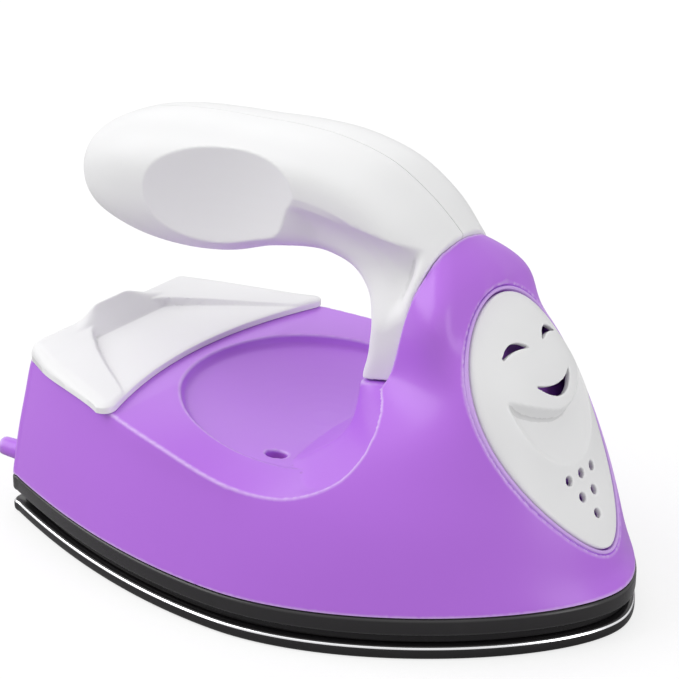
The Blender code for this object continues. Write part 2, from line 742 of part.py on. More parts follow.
def crescent_tool(name, s, t, length, bow, thickness):
    """A curved slot tool, arched towards the plate's top where the bow is positive."""
    steps = 10
    inner = bow - math.copysign(thickness, bow)
    there = [(bow, i) for i in range(steps + 1)]
    back = [(inner, i) for i in range(steps - 1, 0, -1)]
    outline = []
    for height, i in there + back:
        q = 2 * i / steps - 1
        outline.append((s - height * (1 - q * q), t + q * length / 2))
    _, _, out, _ = face_frame()
    points = [face_point(a, b, -OVERRUN / 4) for a, b in outline]
    return add_cutter(name, extrude_outline(name, points, tuple(out * OVERRUN / 2)))


# Handle
def handle_rings(inset=0.0, first=0, last=None, steps=2, sides=20):
    rows = HANDLE_SHARES[first:last]
    lines = [np.array((along(a), up(b), along(c), up(d), *rest)) for a, b, c, d, *rest in rows]
    lines = smooth_line(lines, steps)
    rings = []
    for top_x, top_z, foot_x, foot_z, wide, crest, under in lines:
        top, foot = np.array((top_x, top_z)), np.array((foot_x, foot_z))
        centre, arm = (top + foot) / 2, (top - foot) / 2
        reach = np.linalg.norm(arm)
        arm = arm * (reach - inset) / reach
        half = wide * GRIP_WIDTH / 2 - inset
        ring = []
        for i in range(sides):
            angle = 2 * math.pi * i / sides
            c, s = math.cos(angle), math.sin(angle)
            square = crest if c > 0 else under
            p = math.copysign(abs(c) ** (2 / square), c)
            q = math.copysign(abs(s) ** (2 / square), s)
            ring.append((centre[0] + p * arm[0], -q * half, centre[1] + p * arm[1]))
        rings.append(ring)
    return rings


def arch_slab(name, start, thickness):
    """A slab parallel to the arch plane; start is the distance in front of the plane."""
    foot, top = arch_line()
    run = (top - foot) / np.linalg.norm(top - foot)
    out = np.array((run[1], -run[0]))
    low, high = foot - run * OVERRUN * 2, top + run * OVERRUN
    corners = [low + out * start, high + out * start, high + out * (start + thickness),
               low + out * (start + thickness)]
    half = across(WIDTH_PARTS)
    return extrude_outline(name, [(x, -half, z) for x, z in corners], (0, 2 * half, 0))


def screw_mesh(name, seat, direction, length):
    """A pan-head screw whose head sits on the seat point and whose shank runs along the direction."""
    profile = [(0.0, SCREW_HEAD_HEIGHT), (SCREW_HEAD_RADIUS * SCREW_DOME_SHARES[0], SCREW_HEAD_HEIGHT),
               (SCREW_HEAD_RADIUS, SCREW_HEAD_HEIGHT * SCREW_DOME_SHARES[1]), (SCREW_HEAD_RADIUS, 0.0),
               (SCREW_RADIUS, 0.0),
               (SCREW_RADIUS, -length + SCREW_RADIUS), (0.0, -length)]
    turn = (-Vector(direction)).to_track_quat("Z", "Y").to_matrix().to_4x4()
    return turned(name, profile, 8, Matrix.Translation(Vector(seat)) @ turn)


def bore(name, start, end, radius):
    return add_cutter(name, rod_mesh(name, start, end, radius))


clear_scene()
PARTS = make_collection("mini_craft_iron")
CUTTERS = make_collection("cutters")
MATERIALS = make_materials()


def add_part(name, mesh, material):
    return add_object(name, mesh, PARTS, MATERIALS[material])


def screw_places(shares):
    return [(along(x), across(y)) for x, y in shares]


def clamp_foot_places():
    reach = HEATER_LENGTH / 2 + INSULATION_MARGIN + CLAMP_THICKNESS + CLAMP_FOOT / 2 + FIT_GAP
    return [(reach, 0.0), (-reach, 0.0)]


def build_soleplate():
    rings = [hull_ring(0.0, SOLE_EDGE_ROUND, z=0.0),
             hull_ring(0.0, SOLE_EDGE_ROUND * ROUND_MIDDLE_SHARE, z=SOLE_EDGE_ROUND * ROUND_MIDDLE_SHARE),
             hull_ring(0.0, 0.0, z=SOLE_EDGE_ROUND), hull_ring(0.0, 0.0, z=SOLE_THICKNESS - SOLE_EDGE_ROUND),
             hull_ring(0.0, SOLE_EDGE_ROUND * ROUND_MIDDLE_SHARE,
                       z=SOLE_THICKNESS - SOLE_EDGE_ROUND * ROUND_MIDDLE_SHARE),
             hull_ring(0.0, SOLE_EDGE_ROUND, z=SOLE_THICKNESS)]
    plate = add_part("soleplate", loft("soleplate", rings), "coating")
    for i, (x, y) in enumerate(screw_places(SOLE_SCREW_SHARES) + clamp_foot_places()):
        cut(plate, bore(f"sole_thread_{i}", (x, y, SOLE_THICKNESS - SOLE_THREAD_DEPTH), (x, y, SKIRT_TOP),
                        SCREW_RADIUS + FIT_GAP))


def build_skirt():
    rings = [hull_ring(0.0, GROOVE_DEPTH, z=SOLE_THICKNESS + FIT_GAP),
             hull_ring(0.0, GROOVE_DEPTH, z=SKIRT_BOTTOM),
             hull_ring(0.0, 0.0, z=SKIRT_BOTTOM), hull_ring(0.0, 0.0, z=SKIRT_TOP - SKIRT_EDGE_ROUND),
             hull_ring(0.0, SKIRT_EDGE_ROUND * ROUND_MIDDLE_SHARE, z=SKIRT_TOP)]
    skirt = add_part("heat_skirt", loft("heat_skirt", rings), "black")
    window = [hull_ring(0.0, SKIRT_FLANGE, z=-OVERRUN), hull_ring(0.0, SKIRT_FLANGE, z=OVERRUN)]
    cut(skirt, add_cutter("skirt_window", loft("skirt_window", window)))
    inner = GROOVE_DEPTH + GROOVE_WALL
    under = [hull_ring(0.0, inner, z=-OVERRUN), hull_ring(0.0, inner, z=SKIRT_BOTTOM)]
    cut(skirt, add_cutter("skirt_under", loft("skirt_under", under)))
    for i, (x, y) in enumerate(screw_places(SOLE_SCREW_SHARES + HOUSING_SCREW_SHARES)):
        cut(skirt, bore(f"skirt_hole_{i}", (x, y, -OVERRUN), (x, y, OVERRUN), SCREW_RADIUS + FIT_GAP))


def build_housing():
    housing = add_part("housing", hull_mesh("housing", 0.0, HOUSING_BOTTOM), "purple")
    opening = add_cutter("hand_opening", opening_mesh("hand_opening"))
    join(opening, add_cutter("finger_dish", dish_mesh("finger_dish")))
    cut(opening, add_cutter("pedestal", pedestal_mesh("pedestal")))
    cut(housing, opening)
    for i, side in enumerate((1, -1)):
        y, z = side * across(PEG_SHARES[0]), up(PEG_SHARES[1])
        wall_x = along(HULL_SHARES[0][-1])
        peg = rod_mesh(f"peg_{i}", (wall_x + HOUSING_WALL, y, z), (wall_x - PEG_REACH, y, z), PEG_RADIUS,
                       PEG_RADIUS - PEG_ROUND / 2, sides=16)
        join(housing, add_cutter(f"peg_{i}", peg))
    levels = HULL_LEVEL_SHARES[:1] + HULL_LEVEL_SHARES[1:CAVITY_LEVEL_COUNT:2]
    cavity = add_cutter("cavity", hull_mesh("cavity", HOUSING_WALL, HOUSING_BOTTOM - OVERRUN, levels))
    skin = add_cutter("opening_skin", opening_mesh("opening_skin", HOUSING_WALL))
    join(skin, add_cutter("dish_skin", dish_mesh("dish_skin", HOUSING_WALL)))
    cut(skin, add_cutter("pedestal_inside", pedestal_mesh("pedestal_inside", HOUSING_WALL)))
    cut(cavity, skin)
    cut(cavity,
        add_cutter("face_pad", face_tool("face_pad", HOUSING_WALL, PLATE_WALL + FIT_GAP + FACE_LEDGE)))
    for i, (x, y) in enumerate(screw_places(HOUSING_SCREW_SHARES)):
        cut(cavity, add_cutter(f"post_{i}", rod_mesh(f"post_{i}", (x, y, HOUSING_BOTTOM),
                                                     (x, y, up(POST_TOP_SHARE)), SCREW_RADIUS + POST_WALL)))
    x, y = screw_places((INDICATOR_SHARES,))[0]
    collar = LENS_RADIUS + FIT_GAP + COLLAR_WALL
    cut(cavity, add_cutter("collar", rod_mesh("collar", (x, y, lens_levels()[0]),
                                              (x, y, up(LAMP_BOSS_TOP_SHARE)), collar)))
    for i, (px, py) in enumerate(board_post_places()):
        cut(cavity, add_cutter(f"board_post_{i}", rod_mesh(f"board_post_{i}", (px, py, board_top() + FIT_GAP),
                                                           (px, py, up(LAMP_BOSS_TOP_SHARE)),
                                                           BOARD_POST_RADIUS, sides=10)))
    cut(housing, cavity)
    cut(housing, add_cutter("face_lip", face_tool("face_lip", FACE_LIP_WIDTH, FACE_LIP_DEPTH)))
    cut(housing, add_cutter("face_seat", face_tool("face_seat", FIT_GAP, PLATE_WALL + FIT_GAP)))
    cut(housing, add_cutter("face_window", face_window_mesh("face_window")))
    cut(housing, bore("indicator_hole", (x, y, lens_levels()[0] - OVERRUN / 4),
                      (x, y, lens_levels()[1] + OVERRUN / 2),
                      INDICATOR_HOLE_RADIUS))
    for i, (px, py) in enumerate(screw_places(HOUSING_SCREW_SHARES)):
        cut(housing, bore(f"post_hole_{i}", (px, py, 0),
                          (px, py, up(HOUSING_SCREW_TOP_SHARE) + SCREW_TIP_ROOM), SCREW_RADIUS + FIT_GAP))
    cut(housing, add_cutter("inlet_window", inlet_box("inlet_window", FIT_GAP)))
    for i, (seat, direction) in enumerate(fixing_places()):
        ahead = Vector(seat) + Vector(direction) * (HOUSING_WALL + FIT_GAP * 2)
        behind = Vector(seat) - Vector(direction) * FIT_GAP
        cut(housing, bore(f"fixing_hole_{i}", behind, ahead, SCREW_RADIUS + FIT_GAP))
    weld(housing)


def fixing_places():
    """Seats inside the neck wall for the screws that hold the handle."""
    foot, top = arch_line()
    run = (top - foot) / np.linalg.norm(top - foot)
    out = np.array((run[1], -run[0]))
    middle = foot + (top - foot) * FIXING_HEIGHT_SHARE + out * (HOUSING_WALL + FIT_GAP)
    spread = FIXING_SPREAD_SHARE * LEG_WIDTH / 2
    return [((middle[0], y, middle[1]), (-out[0], 0, -out[1])) for y in (spread, -spread)]


def board_top():
    return lens_levels()[0] - FIT_GAP * 2 - LED_HEIGHT


def lens_levels():
    """Foot and top of the indicator's light pipe under the dish."""
    top = up(DISH_CENTRE_SHARES[1]) - HOUSING_WALL / 2
    return top - LENS_LENGTH, top


def board_post_places():
    x, y = screw_places((INDICATOR_SHARES,))[0]
    return [(x + BOARD_LENGTH * a, y + BOARD_WIDTH * b) for a, b in BOARD_POST_SHARES]


def inlet_box(name, grow):
    wall_x = along(HULL_SHARES[0][-1])
    z = up(INLET_HEIGHT_SHARE)
    return box_mesh(name, (wall_x - OVERRUN / 2 if grow else wall_x + BLOCK_SETBACK, -INLET_WIDTH / 2 - grow,
                           z - INLET_HEIGHT / 2 - grow),
                    (wall_x + INLET_DEPTH + grow, INLET_WIDTH / 2 + grow, z + INLET_HEIGHT / 2 + grow))


def thumb_tool(name, side, grow):
    """A fat upright barrel that hollows an oval into the grip's side."""
    x, z = along(THUMB_PLACE_SHARES[0]), up(THUMB_PLACE_SHARES[1])
    y = side * (GRIP_WIDTH / 2 - THUMB_DEPTH + THUMB_CURVE_RADIUS)
    steps = 6
    profile = [(0.0, GRIP_WIDTH)]
    for i in range(steps + 1):
        height = GRIP_WIDTH * (1 - 2 * i / steps)
        profile.append((THUMB_CURVE_RADIUS + grow - height ** 2 / (2 * THUMB_BARREL_RADIUS), height))
    profile.append((0.0, -GRIP_WIDTH))
    place = Matrix.Translation((x, y, z)) @ Matrix.Rotation(THUMB_LEAN, 4, "Y")
    return turned(name, profile, 64, place)


def build_handle():
    for name, side in (("handle_right_shell", -1), ("handle_left_shell", 1)):
        shell = add_part(name, loft(name, handle_rings()), "white")
        cut(shell, add_cutter(name + "_front", arch_slab(name + "_front", -FIT_GAP, OVERRUN)))
        core = add_cutter(name + "_core", loft(name + "_core", handle_rings(HANDLE_WALL, 1, -1, 1, 12)))
        cut(core,
            add_cutter(name + "_bulkhead", arch_slab(name + "_bulkhead", -FIT_GAP - HANDLE_WALL, OVERRUN)))
        for i, (x, z) in enumerate(handle_screw_places()):
            boss = rod_mesh(f"{name}_boss_{i}", (x, -GRIP_WIDTH, z), (x, GRIP_WIDTH, z), HANDLE_BOSS_RADIUS)
            cut(core, add_cutter(f"{name}_boss_{i}", boss))
        for i, (seat, direction) in enumerate(fixing_places()):
            end = Vector(seat) + Vector(direction) * (HANDLE_SCREW_GRIP + HANDLE_WALL)
            boss = rod_mesh(f"{name}_fixing_boss_{i}", seat, end, HANDLE_BOSS_RADIUS)
            cut(core, add_cutter(f"{name}_fixing_boss_{i}", boss))
        cut(core, add_cutter(name + "_thumb_skin", thumb_tool(name + "_thumb_skin", side, HANDLE_WALL)))
        cut(shell, core)
        cut(shell, add_cutter(name + "_thumb", thumb_tool(name + "_thumb", side, 0)))
        split = FIT_GAP / 2
        far, near = (-side * GRIP_WIDTH * 2, side * split)
        cut(shell, add_cutter(name + "_split", box_mesh(
            name + "_split", (-SOLE_LENGTH, min(far, near), 0),
            (SOLE_LENGTH, max(far, near), IRON_HEIGHT * 2))))
        for i, (x, z) in enumerate(handle_screw_places()):
            reach = HANDLE_SCREW_GRIP + FIT_GAP
            cut(shell, bore(f"{name}_hole_{i}", (x, -reach, z), (x, GRIP_WIDTH, z), SCREW_RADIUS + FIT_GAP))
            if side > 0:
                cut(shell, bore(f"{name}_sink_{i}", (x, HANDLE_SCREW_GRIP, z), (x, GRIP_WIDTH, z),
                                SCREW_HEAD_RADIUS + FIT_GAP))
        for i, (seat, direction) in enumerate(fixing_places()):
            end = Vector(seat) + Vector(direction) * (HANDLE_SCREW_GRIP + HOUSING_WALL)
            cut(shell, bore(f"{name}_fixing_{i}", seat, end, SCREW_RADIUS + FIT_GAP))


def handle_screw_places():
    return [(along(x), up(z)) for x, z in HANDLE_SCREW_SHARES]


def build_face_plate():
    plate = add_part("face_plate", face_plate_mesh(), "white")
    length = face_frame()[3]
    eye_s = EYE_PLACE_SHARES[0] * length
    for i, side in enumerate((1, -1)):
        t = side * EYE_PLACE_SHARES[1] * FACE_WIDTH / 2
        cut(plate, crescent_tool(f"eye_{i}", eye_s, t, EYE_LENGTH, EYE_RISE, EYE_THICKNESS))
    cut(plate,
        crescent_tool("smile", SMILE_PLACE_SHARE * length, 0, SMILE_LENGTH, -SMILE_RISE, SMILE_THICKNESS))
    _, _, out, _ = face_frame()
    for row, count in enumerate((3, 2, 1)):
        for i in range(count):
            t = (i - (count - 1) / 2) * VENT_PITCH
            s = VENT_PLACE_SHARE * length + row * VENT_ROW_PITCH
            low, high = face_point(s, t, -OVERRUN / 4), face_point(s, t, OVERRUN / 4)
            cut(plate,
                add_cutter(f"vent_{row}_{i}", rod_mesh(f"vent_{row}_{i}", low, high, VENT_RADIUS, sides=12)))


def blend(pair, share):
    return pair[0] + (pair[1] - pair[0]) * share


def deck_height(x):
    (x0, z0), (x1, z1), (x2, z2) = [(along(a), up(b)) for a, b in DECK_SHARES]
    if x < x1:
        return z0 + (z1 - z0) * (x - x0) / (x1 - x0)
    return z1 + (z2 - z1) * (x - x1) / (x2 - x1)


def cover_columns(share):
    """Distances from the middle at a row, with a pair of columns along the crease."""
    half = across(blend(COVER_HALF_SHARES, share))
    bevel = half - across(blend(COVER_BEVEL_SHARES, share))
    if share < HOLLOW_END_SHARE:
        widening = (HOLLOW_HALF_SHARES[0] - RIDGE_HALF_SHARE) * share / HOLLOW_END_SHARE
        crease = across(RIDGE_HALF_SHARE + widening)
    else:
        crease = across(blend(HOLLOW_HALF_SHARES, (share - HOLLOW_END_SHARE) / (1 - HOLLOW_END_SHARE)))
    crease = min(crease, bevel - HOLLOW_STEP * 2)
    outer = crease + HOLLOW_STEP
    middle = [outer + (bevel - outer) * step for step in (1 / 3, 2 / 3, 1)]
    return [0, crease / 2, crease, outer] + middle + [blend((bevel, half), 0.5), half - COVER_ROUND, half]


def cover_top(share, y, column):
    """Height of the cover at a row and distance from the middle; the third column is the crease."""
    half = across(blend(COVER_HALF_SHARES, share))
    bevel = across(blend(COVER_BEVEL_SHARES, share))
    top = up(blend(COVER_TOP_SHARES, share))
    floor = up(blend(HOLLOW_FLOOR_SHARES, share))
    face = top
    if share < HOLLOW_END_SHARE:
        face = up(blend((RIDGE_TOP_SHARE, HOLLOW_FLOOR_SHARES[0]), share / HOLLOW_END_SHARE))
        floor = face
    if column < 3:
        return floor
    flank = max(1 - (y - cover_columns(share)[2]) / across(RIDGE_FLANK_SHARE), 0.0)
    level = top + max(face - top, 0.0) * flank * flank * (3 - 2 * flank)
    slope = min(max((half - y) / bevel, 0.0), 1.0)
    return level - (1 - slope) * (level - HOLLOW_STEP - up(DECK_SHARES[1][1]) - COVER_EDGE)


def build_rear_cover():
    front_middle, front_side = (along(part) for part in COVER_FRONT_SHARES)
    rear_x = along(COVER_REAR_SHARE)
    upper, lower = [], []
    for share in COVER_ROW_SHARES:
        columns = cover_columns(share)
        count = len(columns)
        top_row, low_row = [], []
        for k in range(1 - count, count):
            column = abs(k)
            y = columns[column]
            reach = smoothstep(HOLLOW_END_SHARE, 1, share)
            arc = (front_side - front_middle) * (y / columns[-1]) ** 2 * reach
            x = rear_x + (front_middle - rear_x) * share + arc
            foot = deck_height(x) + FIT_GAP
            top = cover_top(share, y, column)
            if share in (COVER_ROW_SHARES[0], COVER_ROW_SHARES[-1]) or column == count - 1:
                top -= COVER_ROUND
            edge = share < COVER_ROW_SHARES[2] or share > COVER_ROW_SHARES[-3] or column > count - 4
            top = max(top, foot + COVER_EDGE)
            side = math.copysign(y, k)
            top_row.append((x, side, top))
            low_row.append((x, side, foot if edge else max(foot, top - COVER_WALL)))
        upper.append(top_row)
        lower.append(low_row)
    add_part("rear_cover", grid_solid("rear_cover", upper, lower), "white")


def build_heater():
    foot = SOLE_THICKNESS + FIT_GAP
    half_l, half_w = HEATER_LENGTH / 2, HEATER_WIDTH / 2
    top = foot + HEATER_THICKNESS
    add_part("ptc_heater", box_mesh("ptc_heater", (-half_l, -half_w, foot), (half_l, half_w, top)), "ceramic")
    sheet_low, sheet_high = top + FIT_GAP, top + FIT_GAP + INSULATION_THICKNESS
    sl, sw = half_l + INSULATION_MARGIN, half_w + INSULATION_MARGIN
    add_part("heater_insulation", box_mesh("heater_insulation", (-sl, -sw, sheet_low), (sl, sw, sheet_high)),
             "mica")
    low = sheet_high + FIT_GAP
    high = low + CLAMP_THICKNESS
    knee = sl + FIT_GAP
    end = knee + CLAMP_THICKNESS + CLAMP_FOOT
    outline = [(-end, foot), (-knee, foot), (-knee, low), (knee, low), (knee, foot), (end, foot),
               (end, foot + CLAMP_THICKNESS), (knee + CLAMP_THICKNESS, foot + CLAMP_THICKNESS),
               (knee + CLAMP_THICKNESS, high), (-knee - CLAMP_THICKNESS, high),
               (-knee - CLAMP_THICKNESS, foot + CLAMP_THICKNESS), (-end, foot + CLAMP_THICKNESS)]
    strap = extrude_outline("heater_clamp", [(x, -CLAMP_WIDTH / 2, z) for x, z in outline],
                            (0, CLAMP_WIDTH, 0))
    clamp = add_part("heater_clamp", strap, "steel")
    for i, (x, y) in enumerate(clamp_foot_places()):
        cut(clamp, bore(f"clamp_hole_{i}", (x, y, -OVERRUN), (x, y, OVERRUN), SCREW_RADIUS + FIT_GAP))
    seat = foot + CLAMP_THICKNESS + FIT_GAP
    for name, (x, y) in zip(("clamp_screw_front", "clamp_screw_rear"), clamp_foot_places()):
        reach = seat - (SOLE_THICKNESS - SOLE_THREAD_DEPTH) - FIT_GAP
        add_part(name, screw_mesh(name, (x, y, seat), (0, 0, -1), reach), "steel")
    z = high + FIT_GAP + FUSE_RADIUS
    fuse = [(0.0, FUSE_LENGTH / 2 + FUSE_TIP), (FUSE_TIP / 2, FUSE_LENGTH / 2 + FUSE_TIP),
            (FUSE_TIP / 2, FUSE_LENGTH / 2), (FUSE_RADIUS, FUSE_LENGTH / 2), (FUSE_RADIUS, -FUSE_LENGTH / 2),
            (FUSE_TIP / 2, -FUSE_LENGTH / 2), (FUSE_TIP / 2, -FUSE_LENGTH / 2 - FUSE_TIP),
            (0.0, -FUSE_LENGTH / 2 - FUSE_TIP)]
    add_part("thermal_fuse", turned("thermal_fuse", fuse, 12,
                                    Matrix.Translation((0, 0, z)) @ Matrix.Rotation(math.pi / 2, 4, "Y")),
                                    "steel")
    return z


def build_indicator():
    x, y = screw_places((INDICATOR_SHARES,))[0]
    low, high = lens_levels()
    lens = [(0.0, high), (LENS_RADIUS - LENS_CHAMFER, high), (LENS_RADIUS, high - LENS_CHAMFER),
            (LENS_RADIUS, low),
            (0.0, low)]
    add_part("indicator_lens", turned("indicator_lens", lens, 16, Matrix.Translation((x, y, 0))), "lens")
    top = board_top()
    led_high = top + FIT_GAP + LED_HEIGHT
    steps = 3
    dome = [math.pi / 2 * i / steps for i in range(steps + 1)]
    led = [(LED_RADIUS * math.sin(angle), led_high - LED_RADIUS * (1 - math.cos(angle))) for angle in dome]
    led += [(LED_RADIUS, top + FIT_GAP), (0.0, top + FIT_GAP)]
    add_part("indicator_led", turned("indicator_led", led, 16, Matrix.Translation((x, y, 0))), "lens")
    board = box_mesh("control_board", (x - BOARD_LENGTH / 2, y - BOARD_WIDTH / 2, top - BOARD_THICKNESS),
                     (x + BOARD_LENGTH / 2, y + BOARD_WIDTH / 2, top))
    add_part("control_board", board, "board")


def build_inlet():
    block = add_part("contact_block", inlet_box("contact_block", 0), "black")
    wall_x = along(HULL_SHARES[0][-1])
    z = up(INLET_HEIGHT_SHARE)
    start = wall_x + PIN_SETBACK
    for name, side in (("contact_pin_left", 1), ("contact_pin_right", -1)):
        y = side * CONTACT_SPACING / 2
        cut(block, bore(name + "_bore", (wall_x - OVERRUN, y, z), (wall_x + OVERRUN, y, z),
                        CONTACT_RADIUS + FIT_GAP))
        pin = rod_mesh(name, (start, y, z), (start + CONTACT_LENGTH, y, z), CONTACT_RADIUS)
        add_part(name, pin, "brass")


def lead_mesh(name, points):
    line = smooth_line(points, 3)
    curve = bpy.data.curves.new(name, "CURVE")
    curve.dimensions = "3D"
    curve.bevel_depth = LEAD_RADIUS
    curve.bevel_resolution = 1
    curve.use_fill_caps = True
    spline = curve.splines.new("POLY")
    spline.points.add(len(line) - 1)
    for knot, point in zip(spline.points, line):
        knot.co = (*point, 1.0)
    holder = bpy.data.objects.new(name + "_route", curve)
    bpy.context.scene.collection.objects.link(holder)
    graph = bpy.context.evaluated_depsgraph_get()
    mesh = bpy.data.meshes.new_from_object(holder.evaluated_get(graph))
    bpy.data.objects.remove(holder, do_unlink=True)
    mesh.materials.clear()
    bm = bmesh.new()
    bm.from_mesh(mesh)
    bmesh.ops.remove_doubles(bm, verts=bm.verts, dist=LEAD_RADIUS / 100)
    bmesh.ops.recalc_face_normals(bm, faces=bm.faces)
    bm.to_mesh(mesh)
    bm.free()
    shade(mesh)
    return mesh


def build_leads(fuse_z):
    pin_end = along(HULL_SHARES[0][-1]) + PIN_SETBACK + CONTACT_LENGTH + FIT_GAP
    z = up(INLET_HEIGHT_SHARE)
    y = CONTACT_SPACING / 2
    fuse_end = FUSE_LENGTH / 2 + FUSE_TIP + FIT_GAP
    heater_z = SOLE_THICKNESS + FIT_GAP + HEATER_THICKNESS / 2
    side = HEATER_WIDTH / 2 + FIT_GAP
    half = HEATER_LENGTH / 2
    bend = LEAD_BEND
    out, share, drop = LIVE_TURN_SHARES
    add_part("lead_live", lead_mesh("lead_live", [
        (pin_end, y, z), (pin_end + bend, y, z), (-fuse_end - bend * out, y * share, z - bend * drop),
        (-fuse_end - bend, 0, fuse_z), (-fuse_end, 0, fuse_z)]), "lead")
    out, wide, drop, near, lift = NEUTRAL_TURN_SHARES
    add_part("lead_neutral", lead_mesh("lead_neutral", [
        (pin_end, -y, z), (pin_end + bend, -y, z), (-half - bend * out, -side - bend * wide, z - bend * drop),
        (-half / 2, -side - bend * near, heater_z + bend * lift), (-half / 2 + bend, -side, heater_z)]),
        "lead")
    out, share, lift, wide, drop, near = HEATER_TURN_SHARES
    add_part("lead_heater", lead_mesh("lead_heater", [
        (fuse_end, 0, fuse_z), (fuse_end + bend, 0, fuse_z),
        (fuse_end + bend * out, side * share, fuse_z + bend * lift),
        (fuse_end, side + bend * wide, fuse_z - bend * drop), (fuse_end - bend, side + bend * near, heater_z),
        (fuse_end - bend * out, side, heater_z)]), "lead")


def build_screws():
    names = ("sole_screw_front", "sole_screw_left", "sole_screw_right")
    seat = SKIRT_TOP + FIT_GAP
    for name, (x, y) in zip(names, screw_places(SOLE_SCREW_SHARES)):
        reach = seat - (SOLE_THICKNESS - SOLE_THREAD_DEPTH) - FIT_GAP
        add_part(name, screw_mesh(name, (x, y, seat), (0, 0, -1), reach), "steel")
    for name, (x, y) in zip(("housing_screw_left", "housing_screw_right"),
                            screw_places(HOUSING_SCREW_SHARES)):
        reach = up(HOUSING_SCREW_TOP_SHARE) - SKIRT_BOTTOM
        add_part(name, screw_mesh(name, (x, y, SKIRT_BOTTOM - FIT_GAP), (0, 0, 1), reach), "steel")
    for name, (x, z) in zip(("handle_screw_rear", "handle_screw_front"), handle_screw_places()):
        add_part(name,
                 screw_mesh(name, (x, HANDLE_SCREW_GRIP + FIT_GAP, z), (0, -1, 0), HANDLE_SCREW_GRIP * 2),
                 "steel")
    for name, (seat_point, direction) in zip(("fixing_screw_left", "fixing_screw_right"), fixing_places()):
        add_part(name, screw_mesh(name, seat_point, direction, HANDLE_SCREW_GRIP + HOUSING_WALL - FIT_GAP),
                 "steel")


build_soleplate()
build_skirt()
build_housing()
build_handle()
build_face_plate()
build_rear_cover()
FUSE_AXIS_HEIGHT = build_heater()
build_indicator()
build_inlet()
build_leads(FUSE_AXIS_HEIGHT)
build_screws()
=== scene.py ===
"""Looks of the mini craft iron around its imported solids, in metres.

+X points to the nose, +Y to the user's left, +Z up; the origin is the centre of the sole's flat face.
"""
import json
import math

import bmesh
import bpy
import numpy as np
from mathutils import Matrix, Vector

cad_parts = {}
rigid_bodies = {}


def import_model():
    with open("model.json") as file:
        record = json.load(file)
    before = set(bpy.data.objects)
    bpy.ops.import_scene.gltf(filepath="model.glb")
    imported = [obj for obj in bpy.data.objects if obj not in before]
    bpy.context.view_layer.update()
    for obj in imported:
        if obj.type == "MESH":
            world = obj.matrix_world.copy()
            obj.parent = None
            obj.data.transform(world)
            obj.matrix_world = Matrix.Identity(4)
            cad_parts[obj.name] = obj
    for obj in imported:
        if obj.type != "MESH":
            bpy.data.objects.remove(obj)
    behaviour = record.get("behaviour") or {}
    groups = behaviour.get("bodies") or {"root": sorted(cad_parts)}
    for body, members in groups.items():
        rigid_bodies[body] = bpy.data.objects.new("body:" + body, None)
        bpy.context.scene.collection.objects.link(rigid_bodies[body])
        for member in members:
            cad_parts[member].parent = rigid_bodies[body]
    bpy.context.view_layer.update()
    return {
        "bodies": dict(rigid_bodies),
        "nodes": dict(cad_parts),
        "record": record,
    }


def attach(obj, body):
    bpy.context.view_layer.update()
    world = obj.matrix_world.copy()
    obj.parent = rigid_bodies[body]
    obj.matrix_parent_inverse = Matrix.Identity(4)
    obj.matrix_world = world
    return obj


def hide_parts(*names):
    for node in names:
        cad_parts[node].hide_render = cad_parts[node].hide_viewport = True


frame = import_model()
BODY = next(iter(frame["bodies"]))

# Overall sizes, and the parts of them that outlines are drawn in
SOLE_LENGTH = 0.120
SOLE_WIDTH = 0.085
IRON_HEIGHT = 0.0798
LENGTH_PARTS = 120.0
WIDTH_PARTS = 85.0
RISE_PARTS = 72.0

# Fits
FIT_GAP = 0.0003
SEAM_GAP = 0.00006
OVERRUN = 0.030
SLIVER = 0.00002
TRIM = 0.0012

# Soleplate and skirt
SOLE_THICKNESS = 0.0026
SOLE_EDGE_ROUND = 0.0009
GROOVE_HEIGHT = 0.0020
GROOVE_DEPTH = 0.0016
GROOVE_WALL = 0.0024
SKIRT_HEIGHT = 0.0032
SKIRT_EDGE_ROUND = 0.0006
SKIRT_FLANGE = 0.0100

# Face plate
FACE_WIDTH = 0.0310
FACE_CROWN = 0.0041
FACE_BEND = 0.0024
CHIN_BOW = 0.0060
SCOOP_DEPTH = 0.0039
SCOOP_EDGE = 0.0013
SCOOP_END_POWERS = (2.4, 0.55)
SCOOP_FALL_POWER = 1.4
SCOOP_SIDE_POWER = 5
CHIN_BOW_POWER = 1.7
FACE_SIDE_POWER = 2.6
FACE_LIP_WIDTH = 0.0010
LIP_GROOVE = 0.0002
LIP_DEPTH = 0.0006
PLATE_WALL = 0.0012
PLATE_RIM_ROUND = 0.0008
PLATE_RIM_DROP = 0.0004
EYE_LENGTH = 0.0076
EYE_RISE = 0.0024
EYE_THICKNESS = 0.0014
SMILE_LENGTH = 0.0122
SMILE_RISE = 0.0040
SMILE_THICKNESS = 0.0021
VENT_RADIUS = 0.00090
VENT_PITCH = 0.0039
VENT_ROW_PITCH = 0.0038
VENTS_IN_ROWS = (3, 2, 1)

# Finger dish, pedestal and heel
DISH_RADIUS = 0.0266
DISH_CENTRE_SHARES = (-5.4, 15.9)
DISH_BOWL_LENGTHWISE = 0.100
DISH_BOWL_ACROSS = 0.125
DISH_TILT = math.radians(3.9)
DISH_TOOL_RISE = 0.0085
DISH_FILLET = 0.0014
DISH_FILLET_TURN = 0.96
DISH_WALL_SLOPE = 5.0
DISH_ROLL = 0.0022
DISH_FLANGE = 0.0054
DISH_RUN_OUT = (-0.55, -0.1)
DISH_LEAST_FLANGE_SHARE = 0.02
INDICATOR_HOLE_RADIUS = 0.0020
LENS_LENGTH = 0.0034
HOUSING_WALL = 0.0020
PEG_RADIUS = 0.0021
PEG_REACH = 0.0062
PEG_ROUND = 0.0006
INLET_WIDTH = 0.0160
INLET_HEIGHT = 0.0080
INLET_DEPTH = 0.0080

